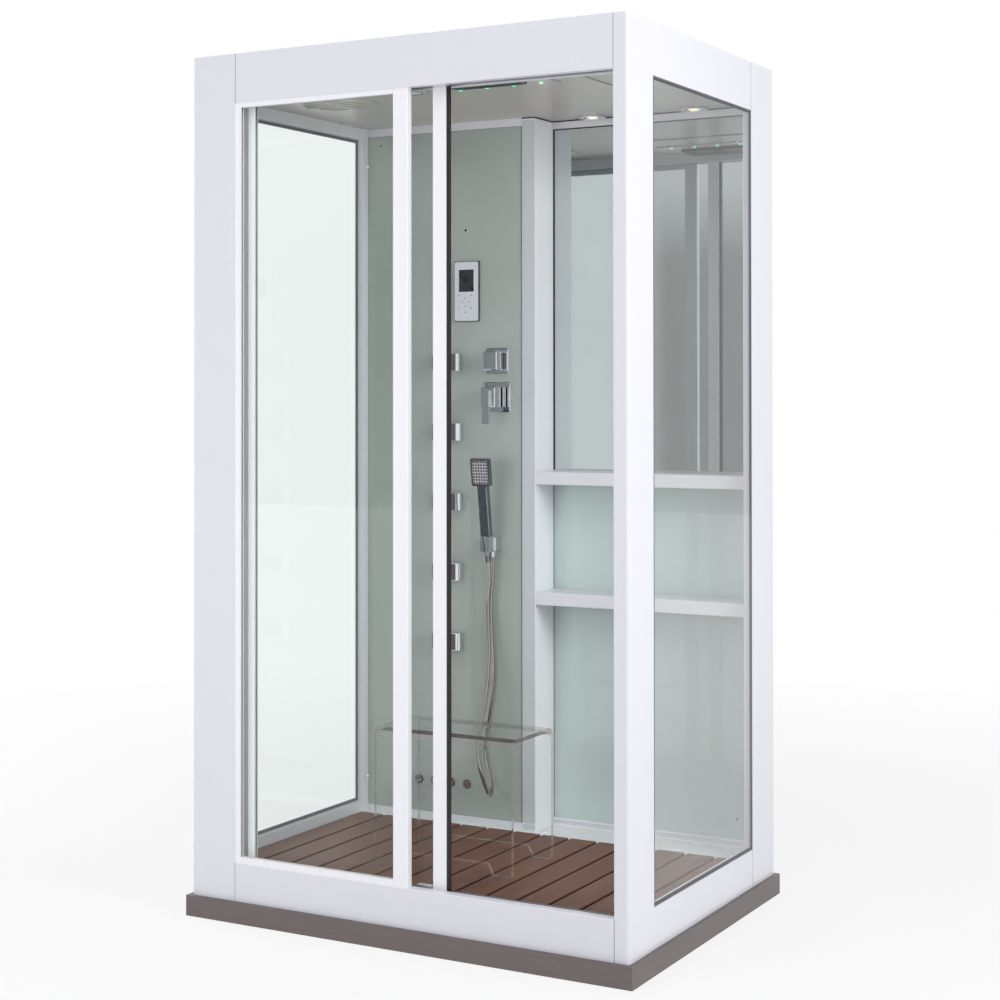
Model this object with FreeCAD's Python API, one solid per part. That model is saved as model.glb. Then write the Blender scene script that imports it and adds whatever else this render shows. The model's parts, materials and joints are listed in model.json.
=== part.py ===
import FreeCAD, Part
import math
import os

Vector = FreeCAD.Vector

# A steam shower cabin for one bather: a white framed glass box on a steel plinth, with a sliding
# door at the front, a service tower and a shelved recess at the back, a shower tray with a
# wooden duckboard, and a loose acrylic stool.
# Millimetres. X runs along the front, to the right as the bather walks in; -Y is the front;
# +Z is up; the origin is on the floor under the middle of the cabin.

# ---- Driving dimensions: envelope ----
overall_width = 1200.0
overall_depth = 890.0
overall_height = 2100.0
plinth_height = 50.0
plinth_overhang = 12.0
plinth_sheet = 3.0
plinth_flange = 60.0

# ---- Driving dimensions: white frame ----
side_frame = 26.0
front_frame = 68.0
sill_height = 93.0
sill_lip = 24.0
sill_ledge_drop = 20.0
header_height = 120.0
left_post_face = 127.0
right_post_face = 36.0
front_post_side = 129.0
back_post_side = 145.0
extrusion_wall = 2.5
post_round = 8.0
back_flange = 60.0
back_sheet = 3.0

# ---- Driving dimensions: back wall, ceiling and roof ----
tower_depth = 119.0
back_wall = 12.0
panel_glass = 5.0
cover_sheet = 4.0
ceiling_drop = 89.0
ceiling_sheet = 3.0
ceiling_step = 3.0
roof_sheet = 3.0
fit_gap = 0.5
rest_gap = 0.3

# ---- Driving dimensions: glazing ----
glass = 6.0
gasket = 4.0
gasket_depth = 9.0
fixed_glass_front = 6.0
channel_depth = 14.0
channel_height = 15.0
edge_strip_width = 41.0
edge_strip_left = -12.0
edge_strip_depth = 16.0

# ---- Driving dimensions: sliding door ----
door_front = 33.0
door_lead = 77.0
door_trail = -446.0
lead_profile = 35.0
trail_profile = 20.0
door_profile_depth = 16.0
seal_width = 9.0
seal_gap = 0.5
glass_bite = 13.0
door_floor_gap = 4.0
door_above_header = 20.0

# ---- Driving dimensions: rollers and tracks ----
wheel_radius = 12.5
wheel_width = 8.0
axle_radius = 4.0
running_fit = 0.05
track_height = 24.0
hanger_inset = 66.0
hanger_width = 56.0
hanger_plate = 3.5
guide_rib = 3.0
guide_rib_height = 13.0

# ---- Driving dimensions: tray and duckboard ----
tray_wall = 6.0
platform_height = 62.0
tray_floor_height = 28.0
tray_pocket_back = 266.0
slat_width = 73.0
slat_gap = 8.0
slat_thick = 20.0
slats_top = 120.0
slats_back = 262.0
batten_width = 40.0
drain_y = 110.0
drain_radius = 45.0
waste_radius = 20.0
waste_wall = 2.0
waste_boss = 55.0

# ---- Driving dimensions: service tower and recess ----
column_right = -35.0
column_face = 40.0
column_sheet = 6.0
trim_depth = 2.0
top_trim = 21.0
bottom_trim = 18.0
shelf_thick = 35.0
upper_shelf_top = 1067.0
lower_shelf_top = 747.0
shelf_round = 3.0

# ---- Driving dimensions: fittings on the tower ----
pad_width = 72.0
pad_height = 160.0
pad_thick = 8.0
pad_x = -242.0
pad_z = 1551.0
screen_width = 46.0
screen_height = 60.0
jet_x = -303.0
jet_width = 88.0
jet_height = 46.0
jet_depth = 28.0
jet_count = 5
jet_low = 602.0
jet_pitch = 189.25
jet_inset = 2.0
foot_jet_x = -394.0
foot_jet_pitch = 50.0
foot_jet_count = 4
foot_jet_z = 217.0
foot_jet_radius = 8.5
foot_stub_half = 5.0
boiler_foot = 300.0
boiler_top = 620.0
boiler_lid = 12.0
valve_x = -148.0
mixer_z = 1264.5
mixer_plate_size = 80.0
diverter_z = 1361.5
diverter_plate_size = 68.0
valve_plate = 5.0
mixer_width = 43.0
mixer_tall = 53.0
mixer_depth = 48.0
mixer_tilt = 18.0
lever_width = 20.0
lever_thick = 9.0
lever_drop = 71.0
knob_width = 41.0
knob_tall = 50.0
knob_depth = 40.0
stem_radius = 7.0

# ---- Driving dimensions: hand shower ----
cradle_x = -155.0
cradle_reach = 48.0
cradle_z = 872.0
cradle_tall = 40.0
cradle_width = 28.0
outlet_size = 35.0
handset_tilt = 8.0
handle_width = 30.0
handle_thick = 18.0
handle_length = 137.0
head_width = 56.0
head_tall = 74.0
head_thick = 13.0
nut_radius = 9.0
handset_nut_radius = 7.9
nut_length = 18.0
hose_radius = 5.5
hose_sides = 8
hose_wall_reach = 16.0

# ---- Driving dimensions: ceiling fittings ----
rain_x = 146.0
rain_width = 200.0
rain_depth = 112.0
rain_thick = 8.0
rain_round = 22.0
rain_front_gap = 15.0
led_gap = 35.0
step_margin = 46.0
led_margin = 30.0
led_pitch = 73.0
led_count = 4
led_radius = 5.0
downlight_radius = 37.0
lamp_radius = 25.0
fan_from_side = 196.0
fan_from_front = 227.0
fan_radius = 111.0
fan_duct = 94.0
fan_drum = 56.0
blade_count = 7

# ---- Driving dimensions: stool ----
stool_left = -232.0
stool_length = 386.0
stool_front = -165.0
stool_depth = 215.0
stool_height = 327.0
stool_sheet = 10.0
stool_bend = 22.0
stool_foot = 52.0
stool_notch = 27.0

# ---- Planes worked out from the driving dimensions ----
x_out = overall_width / 2 - plinth_overhang
y_out = overall_depth / 2 - plinth_overhang
x_in = x_out - side_frame
y_front = -y_out
y_front_in = y_front + front_frame
z_base = plinth_height
z_sill = z_base + sill_height
z_ledge = z_sill - sill_ledge_drop
z_top = overall_height
z_header = z_top - header_height
z_ceiling = z_top - ceiling_drop
z_platform = z_base + platform_height
z_tray_floor = z_base + tray_floor_height
y_tower = y_out - tower_depth
fan_x = -x_in + fan_from_side
fan_y = y_front_in + fan_from_front
rain_front = y_front_in + rain_front_gap
rain_back = rain_front + rain_depth
led_y = rain_back + led_gap
y_recess = y_out - back_wall
cradle_y = y_tower - cradle_reach
hose_wall_y = y_tower - hose_wall_reach
y_cover = y_recess + panel_glass
x_left_jamb = -x_out + left_post_face
x_right_jamb = x_out - right_post_face
side_glass_front = y_front + front_post_side
side_glass_back = y_out - back_post_side
fixed_glass_y = y_front + fixed_glass_front
door_y = y_front + door_front
door_glass_y = door_y + (door_profile_depth - glass) / 2

pieces = {}


def keep(name, *solids):
    """Keep one named piece, or a group of loose solids under one name."""
    pieces[name] = list(solids)


def box(x0, x1, y0, y1, z0, z1):
    return Part.makeBox(x1 - x0, y1 - y0, z1 - z0, Vector(x0, y0, z0))


def rod(start, direction, radius, length):
    return Part.makeCylinder(radius, length, Vector(*start), Vector(*direction))


def faceted(start, direction, radius, length, sides):
    """A round piece that repeats or is hidden, with flats: its corners lie on the radius."""
    axis = Vector(*direction)
    axis.normalize()
    across = axis.cross(Vector(0, 0, 1)) if abs(axis.z) < 0.9 else Vector(1, 0, 0)
    across.normalize()
    up = axis.cross(across)
    corners = []
    for side in range(sides):
        turn = 2 * math.pi * (side + 0.5) / sides
        corners.append(Vector(*start) + across * (radius * math.cos(turn))
                       + up * (radius * math.sin(turn)))
    return outline_face(corners).extrude(axis * length)


def fused(solids):
    whole = solids[0].fuse(solids[1:]) if len(solids) > 1 else solids[0]
    return whole.removeSplitter()


def outline_face(points):
    return Part.Face(Part.makePolygon(points + points[:1]))


def along_x(section, x0, x1):
    """Extrude a section given as (y, z) points."""
    return outline_face([Vector(x0, y, z) for y, z in section]).extrude(Vector(x1 - x0, 0, 0))


def along_y(section, y0, y1):
    """Extrude a section given as (x, z) points."""
    return outline_face([Vector(x, y0, z) for x, z in section]).extrude(Vector(0, y1 - y0, 0))


def along_z(section, z0, z1):
    """Extrude a section given as (x, y) points."""
    return outline_face([Vector(x, y, z0) for x, y in section]).extrude(Vector(0, 0, z1 - z0))


def rounded(solid, radius, direction):
    """Round the straight edges of a solid that run along one axis."""
    axis = Vector(*direction)
    edges = []
    for edge in solid.Edges:
        ends = [vertex.Point for vertex in edge.Vertexes]
        if len(ends) == 2 and (ends[1] - ends[0]).cross(axis).Length < 1e-6:
            edges.append(edge)
    return solid.makeFillet(radius, edges)


def edges_near(solid, picks):
    """The edges of a solid whose middles lie at the given points, None matching anything."""
    found = []
    for edge in solid.Edges:
        middle = edge.BoundBox.Center
        for pick in picks:
            if all(want is None or abs(want - have) < 0.01 for want, have in zip(pick, middle)):
                found.append(edge)
                break
    return found


def mirrored(solid):
    """The same piece on the other side of the cabin."""
    return solid.mirror(Vector(0, 0, 0), Vector(1, 0, 0))


# ---------------------------------------------------------------- base

def plinth_skirt():
    outer_x = overall_width / 2
    outer_y = overall_depth / 2
    inner_x = outer_x - plinth_overhang - plinth_flange
    inner_y = outer_y - plinth_overhang - plinth_flange
    lip_y = outer_y - plinth_flange
    skirt = box(-outer_x, outer_x, -outer_y, outer_y, 0, z_base)
    skirt = skirt.cut(box(-outer_x + plinth_sheet, outer_x - plinth_sheet,
                          -outer_y + plinth_sheet, outer_y - plinth_sheet,
                          -1, z_base - plinth_sheet))
    skirt = skirt.cut(box(-inner_x, inner_x, -inner_y, inner_y, 0, z_base + 1))
    # The back is open between two short returns, where the waste pipe comes out.
    gap_x = outer_x - plinth_flange
    return skirt.cut(box(-gap_x, gap_x, lip_y, outer_y + 1, -1, z_base - plinth_sheet))


def base_frame_bars():
    """Welded square-tube frame inside the plinth, open at the back where the trap's pipe runs."""
    bar = 30.0
    top = z_base - plinth_sheet
    low = top - bar
    edge_x = x_out - 2
    edge_y = y_out - 2
    cross_x = 190.0
    pipe_side = 40.0
    bars = [box(-edge_x, edge_x, -edge_y, -edge_y + bar, low, top),
            box(-edge_x, -pipe_side, edge_y - bar, edge_y, low, top),
            box(pipe_side, edge_x, edge_y - bar, edge_y, low, top)]
    for x in (-edge_x, -cross_x - bar / 2, cross_x - bar / 2, edge_x - bar):
        bars.append(box(x, x + bar, -edge_y, edge_y, low, top))
    return bars, edge_x, edge_y, cross_x, bar, low, top


def base_and_feet():
    bars, edge_x, edge_y, cross_x, bar, low, top = base_frame_bars()
    frame = fused(bars)
    stud_width = 6.0
    pad_radius = 14.0
    pad_tall = 9.0
    feet = []
    for x in (-edge_x + bar / 2, -cross_x, cross_x, edge_x - bar / 2):
        for y in (-edge_y + bar / 2, edge_y - bar / 2):
            stud = box(x - stud_width, x + stud_width, y - stud_width, y + stud_width, 0, low)
            pad = faceted((x, y, 0), (0, 0, 1), pad_radius, pad_tall, 8)
            feet.append(fused([pad, stud]))
    return frame, feet


def shower_tray():
    edge_x = x_in - fit_gap
    front = y_front_in + fit_gap
    back = y_cover - fit_gap
    rib_low = z_base - plinth_sheet
    tray = box(-edge_x, edge_x, front, back, z_base, z_platform)
    under_floor = z_tray_floor - tray_wall
    pocket = box(-edge_x + tray_wall, edge_x - tray_wall, front + tray_wall, tray_pocket_back,
                 z_tray_floor, z_platform + 1)
    tray = tray.cut(rounded(pocket, 12, (0, 0, 1)))
    tray = tray.cut(box(-edge_x + tray_wall, edge_x - tray_wall, front + tray_wall,
                        tray_pocket_back + tray_wall, z_base - 1, under_floor))
    tray = tray.cut(box(-edge_x + tray_wall, edge_x - tray_wall, tray_pocket_back + tray_wall,
                        back - tray_wall, z_base - 1, z_platform - tray_wall))
    ribs = []
    cross_x = base_frame_bars()[3]
    for x in (-cross_x, cross_x):
        ribs.append(box(x - 4, x + 4, front + tray_wall, tray_pocket_back + tray_wall,
                        rib_low, under_floor))
    tray = fused([tray] + ribs)
    return tray.cut(rod((0, drain_y, under_floor - 1), (0, 0, 1), drain_radius, tray_wall + 2))


waste_z = z_base - plinth_sheet - waste_radius - 2.5


def drain_trap():
    """Flat trap under the tray; its outlet pipe leaves from a flat-faced boss, to the back."""
    under = z_tray_floor - tray_wall
    body_radius = drain_radius + 5
    bottom = 3.0
    pipe_z = waste_z
    body = faceted((0, drain_y, bottom), (0, 0, 1), body_radius, under - bottom, 24)
    pipe = rod((0, drain_y, pipe_z), (0, 1, 0), waste_radius, overall_depth / 2 - drain_y)
    boss = box(-waste_radius - 4, waste_radius + 4, drain_y + drain_radius, drain_y + waste_boss,
               bottom, pipe_z + waste_radius + 4)
    trap = fused([body, pipe, boss])
    trap = trap.cut(faceted((0, drain_y, bottom + 4), (0, 0, 1), drain_radius - 4, z_platform, 24))
    return trap.cut(faceted((0, drain_y, pipe_z), (0, 1, 0), waste_radius - waste_wall,
                            overall_depth, 16))


def drain_grate():
    thick = 2.5
    radius = drain_radius + 6
    plate = faceted((0, drain_y, z_tray_floor), (0, 0, 1), radius, thick, 32)
    for row in range(-2, 3):
        y = drain_y + row * 14
        reach = math.sqrt((drain_radius - 8) ** 2 - (row * 14) ** 2)
        plate = plate.cut(box(-reach, reach, y - 2, y + 2, z_tray_floor - 1, z_tray_floor + thick + 1))
    return plate


# ---------------------------------------------------------------- white frame

def corner_post(section, cavities):
    """A hollow extrusion with a closed top: its outline, less the cavities inside its walls."""
    post = along_z(section, z_base, z_top)
    for x0, x1, y0, y1 in cavities:
        post = post.cut(box(x0, x1, y0, y1, z_base - 1, z_top - extrusion_wall))
    return post


def front_left_post():
    wall = extrusion_wall
    leg_end = y_front + front_post_side
    section = [(-x_out, y_front), (x_left_jamb, y_front), (x_left_jamb, y_front_in),
               (-x_in, y_front_in), (-x_in, leg_end), (-x_out, leg_end)]
    cavities = [(-x_out + wall, x_left_jamb - wall, y_front + wall, y_front_in - wall),
                (-x_out + wall, -x_in - wall, y_front + wall, leg_end - wall)]
    post = corner_post(section, cavities)
    middle = (z_base + z_top) / 2
    return post.makeFillet(post_round / 2, edges_near(post, [(-x_out, y_front, middle)]))


def front_right_post():
    wall = extrusion_wall
    leg_end = y_front + front_post_side
    section = [(x_out, y_front), (x_out, leg_end), (x_in, leg_end), (x_in, y_front_in),
               (x_right_jamb, y_front_in), (x_right_jamb, y_front)]
    cavities = [(x_right_jamb + wall, x_out - wall, y_front + wall, y_front_in - wall),
                (x_in + wall, x_out - wall, y_front + wall, leg_end - wall)]
    post = corner_post(section, cavities)
    middle = (z_base + z_top) / 2
    return post.makeFillet(post_round, edges_near(post, [(x_out, y_front, middle)]))


def back_right_post():
    wall = extrusion_wall
    start = side_glass_back
    flange_x = x_in - back_flange
    section = [(x_out, start), (x_out, y_out), (flange_x, y_out), (flange_x, y_out - back_sheet),
               (x_in, y_out - back_sheet), (x_in, start)]
    return corner_post(section, [(x_in + wall, x_out - wall, start + wall, y_out - wall)])


def front_header():
    """Open-bottomed box: the fascia, a lip for the fixed glass, and the slot the door hangs in."""
    wall = 3.0
    lip_end = door_y - 12
    back_lip = y_front_in - 15
    section = [(y_front, z_header), (y_front, z_top), (y_front_in, z_top), (y_front_in, z_header),
               (back_lip, z_header), (back_lip, z_header + wall),
               (y_front_in - wall, z_header + wall), (y_front_in - wall, z_top - wall),
               (y_front + wall, z_top - wall), (y_front + wall, z_header + wall),
               (lip_end, z_header + wall), (lip_end, z_header)]
    return along_x(section, x_left_jamb, x_right_jamb)


def front_sill():
    """Hollow bar with a front lip under the fixed glass and a lower ledge for the door's track."""
    wall = 3.0
    lip_back = y_front + sill_lip
    section = [(y_front, z_base), (y_front_in, z_base), (y_front_in, z_ledge),
               (lip_back, z_ledge), (lip_back, z_sill), (y_front, z_sill)]
    sill = along_x(section, x_left_jamb, x_right_jamb)
    hollow = [(y_front + wall, z_base + wall), (y_front_in - wall, z_base + wall),
              (y_front_in - wall, z_ledge - wall), (lip_back - wall, z_ledge - wall),
              (lip_back - wall, z_sill - wall), (y_front + wall, z_sill - wall)]
    cavity = along_x(hollow, x_left_jamb - 1, x_right_jamb + 1)
    middle = (x_left_jamb + x_right_jamb) / 2
    sill = sill.makeChamfer(2.0, edges_near(sill, [(middle, y_front, z_sill)]))
    return sill.cut(cavity)


def side_rail(z0, z1):
    """The right-hand rail between the posts, as a closed tube."""
    wall = extrusion_wall
    rail = box(x_in, x_out, side_glass_front, side_glass_back, z0, z1)
    return rail.cut(box(x_in + wall, x_out - wall, side_glass_front - 1, side_glass_back + 1,
                        z0 + wall, z1 - wall))


def back_header():
    flange = back_flange / 2
    inner = x_in - back_flange
    section = [(y_out, z_header), (y_out, z_top), (y_out - flange, z_top),
               (y_out - flange, z_top - back_sheet), (y_out - back_sheet, z_top - back_sheet),
               (y_out - back_sheet, z_header)]
    return along_x(section, -inner, inner)


def back_sill():
    inner = x_in - back_flange
    return box(-inner, inner, y_out - back_sheet, y_out, z_base, z_sill)


# ---------------------------------------------------------------- glazing

def side_panes():
    pane = box(x_out - glass, x_out, side_glass_front + gasket, side_glass_back - gasket,
               z_sill + gasket, z_header - gasket)
    return pane, mirrored(pane)


def side_gasket():
    rim = box(x_out - gasket_depth, x_out - 0.5, side_glass_front, side_glass_back, z_sill, z_header)
    hole = box(x_out - glass, x_out, side_glass_front + gasket, side_glass_back - gasket,
               z_sill + gasket, z_header - gasket)
    view = box(x_out - gasket_depth - 1, x_out, side_glass_front + gasket + 4,
               side_glass_back - gasket - 4, z_sill + gasket + 4, z_header - gasket - 4)
    return rim.cut(hole).cut(view)


def fixed_pane():
    bite = channel_height - 6
    return box(x_left_jamb + channel_height - bite, edge_strip_left + edge_strip_width - bite,
               fixed_glass_y, fixed_glass_y + glass,
               z_sill + channel_height - bite, z_header - 2)


def fixed_pane_profiles():
    """U channels at the jamb, sill and header, and the wide white strip on the free edge."""
    pane = fixed_pane()
    front = fixed_glass_y - (channel_depth - glass) / 2
    back = front + channel_depth
    jamb_end = x_left_jamb + channel_height
    strip_front = y_front + 2
    strip = box(edge_strip_left, edge_strip_left + edge_strip_width, strip_front,
                strip_front + edge_strip_depth, z_sill, z_header)
    middle = (z_sill + z_header) / 2
    strip = strip.makeFillet(2.0, edges_near(strip, [
        (edge_strip_left, strip_front, middle),
        (edge_strip_left + edge_strip_width, strip_front, middle)]))
    return [box(x_left_jamb, jamb_end, front, back, z_sill, z_header).cut(pane),
            box(jamb_end, edge_strip_left, front, back, z_sill, z_sill + channel_height).cut(pane),
            box(jamb_end, edge_strip_left, front, back, z_header - 12, z_header).cut(pane),
            strip.cut(pane)]


# ---------------------------------------------------------------- sliding door

door_bottom = z_ledge + door_floor_gap
door_top = z_header + door_above_header
seal_edge = door_lead + lead_profile + seal_width
door_travel = x_right_jamb - seal_edge - seal_gap
track_z = z_header + track_height
wheel_z = track_z + rest_gap + wheel_radius
hanger_xs = (door_trail + hanger_inset, door_lead + lead_profile - hanger_inset)
glass_back = door_glass_y + glass
bracket_back = glass_back + hanger_plate
wheel_y = bracket_back + 2.5
guide_rib_y = glass_back + 10.0


def door_pane():
    return box(door_trail + trail_profile - glass_bite, door_lead + glass_bite, door_glass_y,
               door_glass_y + glass, door_bottom + 2, door_top)


def door_stile(x0, x1, glass_side):
    """A hollow aluminium stile with a slot on the glass side."""
    wall = 2.0
    y1 = door_y + door_profile_depth
    stile = rounded(box(x0, x1, door_y, y1, door_bottom, door_top), 1.5, (0, 0, 1))
    if glass_side == "right":
        cavity = box(x0 + wall, x1 - glass_bite - wall, door_y + wall, y1 - wall,
                     door_bottom - 1, door_top + 1)
    else:
        cavity = box(x0 + glass_bite + wall, x1 - wall, door_y + wall, y1 - wall,
                     door_bottom - 1, door_top + 1)
    return stile.cut(cavity).cut(door_pane())


def door_seal():
    """Flipper seal: a foot on the stile and a rounded nose that meets the right-hand post."""
    x0 = door_lead + lead_profile
    middle = door_y + door_profile_depth / 2
    half = seal_width / 2
    foot = box(x0, x0 + seal_width - half, middle - half, middle + half, door_bottom, z_header)
    nose = rod((x0 + seal_width - half, middle, door_bottom), (0, 0, 1), half, z_header - door_bottom)
    return foot.fuse(nose).removeSplitter()


def hanger(x):
    """Plate clamped to the glass inside the header, with the axle of one wheel."""
    low = z_header + 4
    plate = box(x - hanger_width / 2, x + hanger_width / 2, glass_back, bracket_back, low,
                wheel_z + 8)
    clamp = box(x - hanger_width / 2, x + hanger_width / 2, door_glass_y - 3, door_glass_y,
                low, door_top)
    axle = rod((x, bracket_back, wheel_z), (0, 1, 0), axle_radius, wheel_width + 4.5)
    shoulder = faceted((x, bracket_back, wheel_z), (0, 1, 0), axle_radius + 2.5,
                       wheel_y - bracket_back - 0.1, 6)
    head = faceted((x, wheel_y + wheel_width + 0.1, wheel_z), (0, 1, 0), axle_radius + 2.5, 1.9, 6)
    return [fused([plate, axle, shoulder, head]), clamp]


def guide_shoe(x):
    """Slides along the rib of the bottom track and keeps the foot of the door in line."""
    shoe = box(x - 20, x + 20, glass_back, guide_rib_y + guide_rib + 5,
               door_bottom, z_ledge + guide_rib_height + 6)
    return shoe.cut(box(x - 21, x + 21, guide_rib_y - 0.5, guide_rib_y + guide_rib + 0.5,
                        door_bottom - 1, z_ledge + guide_rib_height + 1.5))


def top_wheel(x):
    wheel = rod((x, wheel_y, wheel_z), (0, 1, 0), wheel_radius, wheel_width)
    return wheel.cut(rod((x, wheel_y - 1, wheel_z), (0, 1, 0), axle_radius + running_fit,
                         wheel_width + 2))


def top_track():
    """Rail on the header's inner wall; the wheels run on its shelf, behind a low lip."""
    wall_y = y_front_in - 3
    web_y = wall_y - 3
    lip_y = wheel_y - 0.5
    section = [(wall_y, track_z - 14), (wall_y, track_z + 40), (web_y, track_z + 40),
               (web_y, track_z), (lip_y, track_z), (lip_y, track_z + 2), (lip_y - 1, track_z + 2),
               (lip_y - 1, track_z - 3), (web_y, track_z - 3), (web_y, track_z - 14)]
    return along_x(section, x_left_jamb, x_right_jamb)


def bottom_track():
    rib_back = guide_rib_y + guide_rib
    rib_top = z_ledge + guide_rib_height
    section = [(door_y - 6, z_ledge), (y_front_in, z_ledge), (y_front_in, z_ledge + 2),
               (rib_back, z_ledge + 2), (rib_back, rib_top), (guide_rib_y, rib_top),
               (guide_rib_y, z_ledge + 2), (door_y - 6, z_ledge + 2)]
    return along_x(section, x_left_jamb, x_right_jamb)


def track_buffers():
    """Rubber blocks on the track shelf that stop the wheels at both ends of the door's travel."""
    left_stop = hanger_xs[0] - wheel_radius - seal_gap
    right_stop = hanger_xs[1] + wheel_radius + door_travel + seal_gap
    y1 = wheel_y + wheel_width
    return [box(left_stop - 22, left_stop, wheel_y, y1, track_z, track_z + 14),
            box(right_stop, right_stop + 22, wheel_y, y1, track_z, track_z + 14)]


# ---------------------------------------------------------------- back wall

tower_left = -x_in + fit_gap
panel_right = column_right - column_face
glass_z0 = z_platform + bottom_trim
glass_z1 = z_ceiling - top_trim
y_panel_back = y_tower + glass


def jet_heights():
    return [jet_low + jet_pitch * row for row in range(jet_count)]


def foot_jet_xs():
    return [foot_jet_x + foot_jet_pitch * place for place in range(foot_jet_count)]


def tower_glass():
    """Back-painted glass with a hole for every fitting that passes through it."""
    panel = box(tower_left, panel_right, y_tower, y_panel_back, glass_z0, glass_z1)
    holes = [(jet_x, z, 12) for z in jet_heights()]
    holes += [(x, foot_jet_z, 6) for x in foot_jet_xs()]
    holes += [(valve_x, mixer_z, 18), (valve_x, diverter_z, 16), (cradle_x, cradle_z, 11),
              (pad_x, pad_z, 12)]
    for x, z, half in holes:
        panel = panel.cut(box(x - half, x + half, y_tower - 1, y_panel_back + 1, z - half, z + half))
    return panel


def tower_column():
    """The white extrusion at the tower's free corner: a face, a deep side, and a rear flange."""
    t = column_sheet
    section = [(panel_right, y_tower), (column_right, y_tower), (column_right, y_cover),
               (column_right - 25, y_cover), (column_right - 25, y_cover - t),
               (column_right - t, y_cover - t), (column_right - t, y_tower + t),
               (panel_right, y_tower + t)]
    return along_z(section, z_platform, z_ceiling)


def inner_trims():
    """White strips round the glass: tower top and foot, recess top and stepped foot rail."""
    front = y_tower - trim_depth
    right = x_in - fit_gap
    rail_z = z_platform + bottom_trim / 3
    foot = [(y_cover, z_platform), (y_cover, glass_z0), (y_recess - 6, glass_z0),
            (y_recess - 6, rail_z), (y_recess - 12, rail_z), (y_recess - 12, z_platform)]
    return [box(tower_left, panel_right, front, y_panel_back, glass_z1, z_ceiling),
            box(tower_left, panel_right, front, y_panel_back, z_platform, glass_z0),
            along_x(foot, column_right, right),
            box(column_right, right, y_recess - 8, y_cover, glass_z1, z_ceiling)]


def shelf(top):
    right = x_in - fit_gap
    board = box(column_right, right, y_tower, y_recess, top - shelf_thick, top)
    middle = (column_right + right) / 2
    return board.makeFillet(shelf_round, edges_near(board, [
        (middle, y_tower, top), (middle, y_tower, top - shelf_thick)]))


def recess_sheet(z0, z1):
    return box(column_right, x_in - fit_gap, y_recess, y_cover, z0, z1)


def back_panels():
    """Plain sheets screwed to the back flanges: the tower's service cover and the recess back."""
    y1 = y_cover + cover_sheet
    split = column_right - column_sheet / 2
    z0 = z_base
    z1 = z_top - back_sheet
    holes = [(x, water_z) for x in water_xs]
    cover = box(-x_in + fit_gap, split - 1, y_cover, y1, z0, z1)
    for x, z in holes:
        cover = cover.cut(rod((x, y_cover - 1, z), (0, 1, 0), inlet_radius + 1, cover_sheet + 2))
    return [cover, box(split + 1, x_in - fit_gap, y_cover, y1, z0, z1)]


# ---------------------------------------------------------------- tower fittings

inlet_radius = 10.4775
water_xs = (valve_x - 50, valve_x + 50)
water_z = 420.0
pipe_y = y_tower + 54
flat_share = math.cos(math.pi / 8)
jet_pipe_radius = 11.0
foot_pipe_radius = 9.0
rain_pipe_x = valve_x + 60
rain_pipe_y = pipe_y - 20
valve_body_front = y_panel_back + 2
valve_body_depth = 46.0


def control_pad():
    z0 = pad_z - pad_height / 2
    pad = rounded(box(pad_x - pad_width / 2, pad_x + pad_width / 2, y_tower - pad_thick, y_tower,
                      z0, z0 + pad_height), 5, (0, 1, 0))
    plug = box(pad_x - 10, pad_x + 10, y_tower, y_panel_back + 14, pad_z - 10, pad_z + 10)
    screen_z = pad_z + pad_height / 2 - 21 - screen_height
    seat = box(pad_x - screen_width / 2, pad_x + screen_width / 2, y_tower - pad_thick - 1,
               y_tower - pad_thick + 1.5, screen_z, screen_z + screen_height)
    screen = box(pad_x - screen_width / 2, pad_x + screen_width / 2, y_tower - pad_thick + 0.2,
                 y_tower - pad_thick + 1.5, screen_z, screen_z + screen_height)
    return fused([pad, plug]).cut(seat), screen


def body_jet(z):
    """Square-edged chrome block on a pipe stub, with a shallow seat for its nozzle pad."""
    front = y_tower - jet_depth
    block = box(jet_x - jet_width / 2, jet_x + jet_width / 2, front, y_tower,
                z - jet_height / 2, z + jet_height / 2)
    rim = [edge for edge in block.Edges if abs(edge.BoundBox.Center.y - front) < 0.01]
    block = block.makeChamfer(1.5, rim)
    stub = box(jet_x - 9, jet_x + 9, y_tower, pipe_y - jet_pipe_radius * flat_share, z - 9, z + 9)
    seat = box(jet_x - 36, jet_x + 36, front - 1, front + jet_inset, z - 15, z + 15)
    return fused([block, stub]).cut(seat)


def jet_pad(z):
    front = y_tower - jet_depth
    pad = box(jet_x - 36, jet_x + 36, front + 0.4, front + jet_inset, z - 15, z + 15)
    groove_z = (-9, -3, 3, 9)
    for offset in groove_z:
        pad = pad.cut(box(jet_x - 32, jet_x + 32, front, front + 0.9, z + offset - 1, z + offset + 1))
    return pad


def foot_jet(x):
    """Low round nozzle: a rosette on a short pipe. The second from the left gives steam."""
    rosette = faceted((x, y_tower - 5, foot_jet_z), (0, 1, 0), foot_jet_radius, 5, 14)
    steam = abs(x - foot_jet_xs()[1]) < 1
    reach = pipe_y - (12 if steam else foot_pipe_radius * flat_share)
    stub = box(x - foot_stub_half, x + foot_stub_half, y_tower, reach,
               foot_jet_z - foot_stub_half, foot_jet_z + foot_stub_half)
    return fused([rosette, stub])


def valve_rosette(z, size, hole):
    half = size / 2
    plate = box(valve_x - half, valve_x + half, y_tower - valve_plate, y_tower, z - half, z + half)
    rim = [edge for edge in plate.Edges
           if abs(edge.BoundBox.Center.y - (y_tower - valve_plate)) < 0.01]
    plate = plate.makeChamfer(1.5, rim)
    return plate.cut(faceted((valve_x, y_tower - valve_plate - 1, z), (0, 1, 0), hole,
                             valve_plate + 2, 24))


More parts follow.
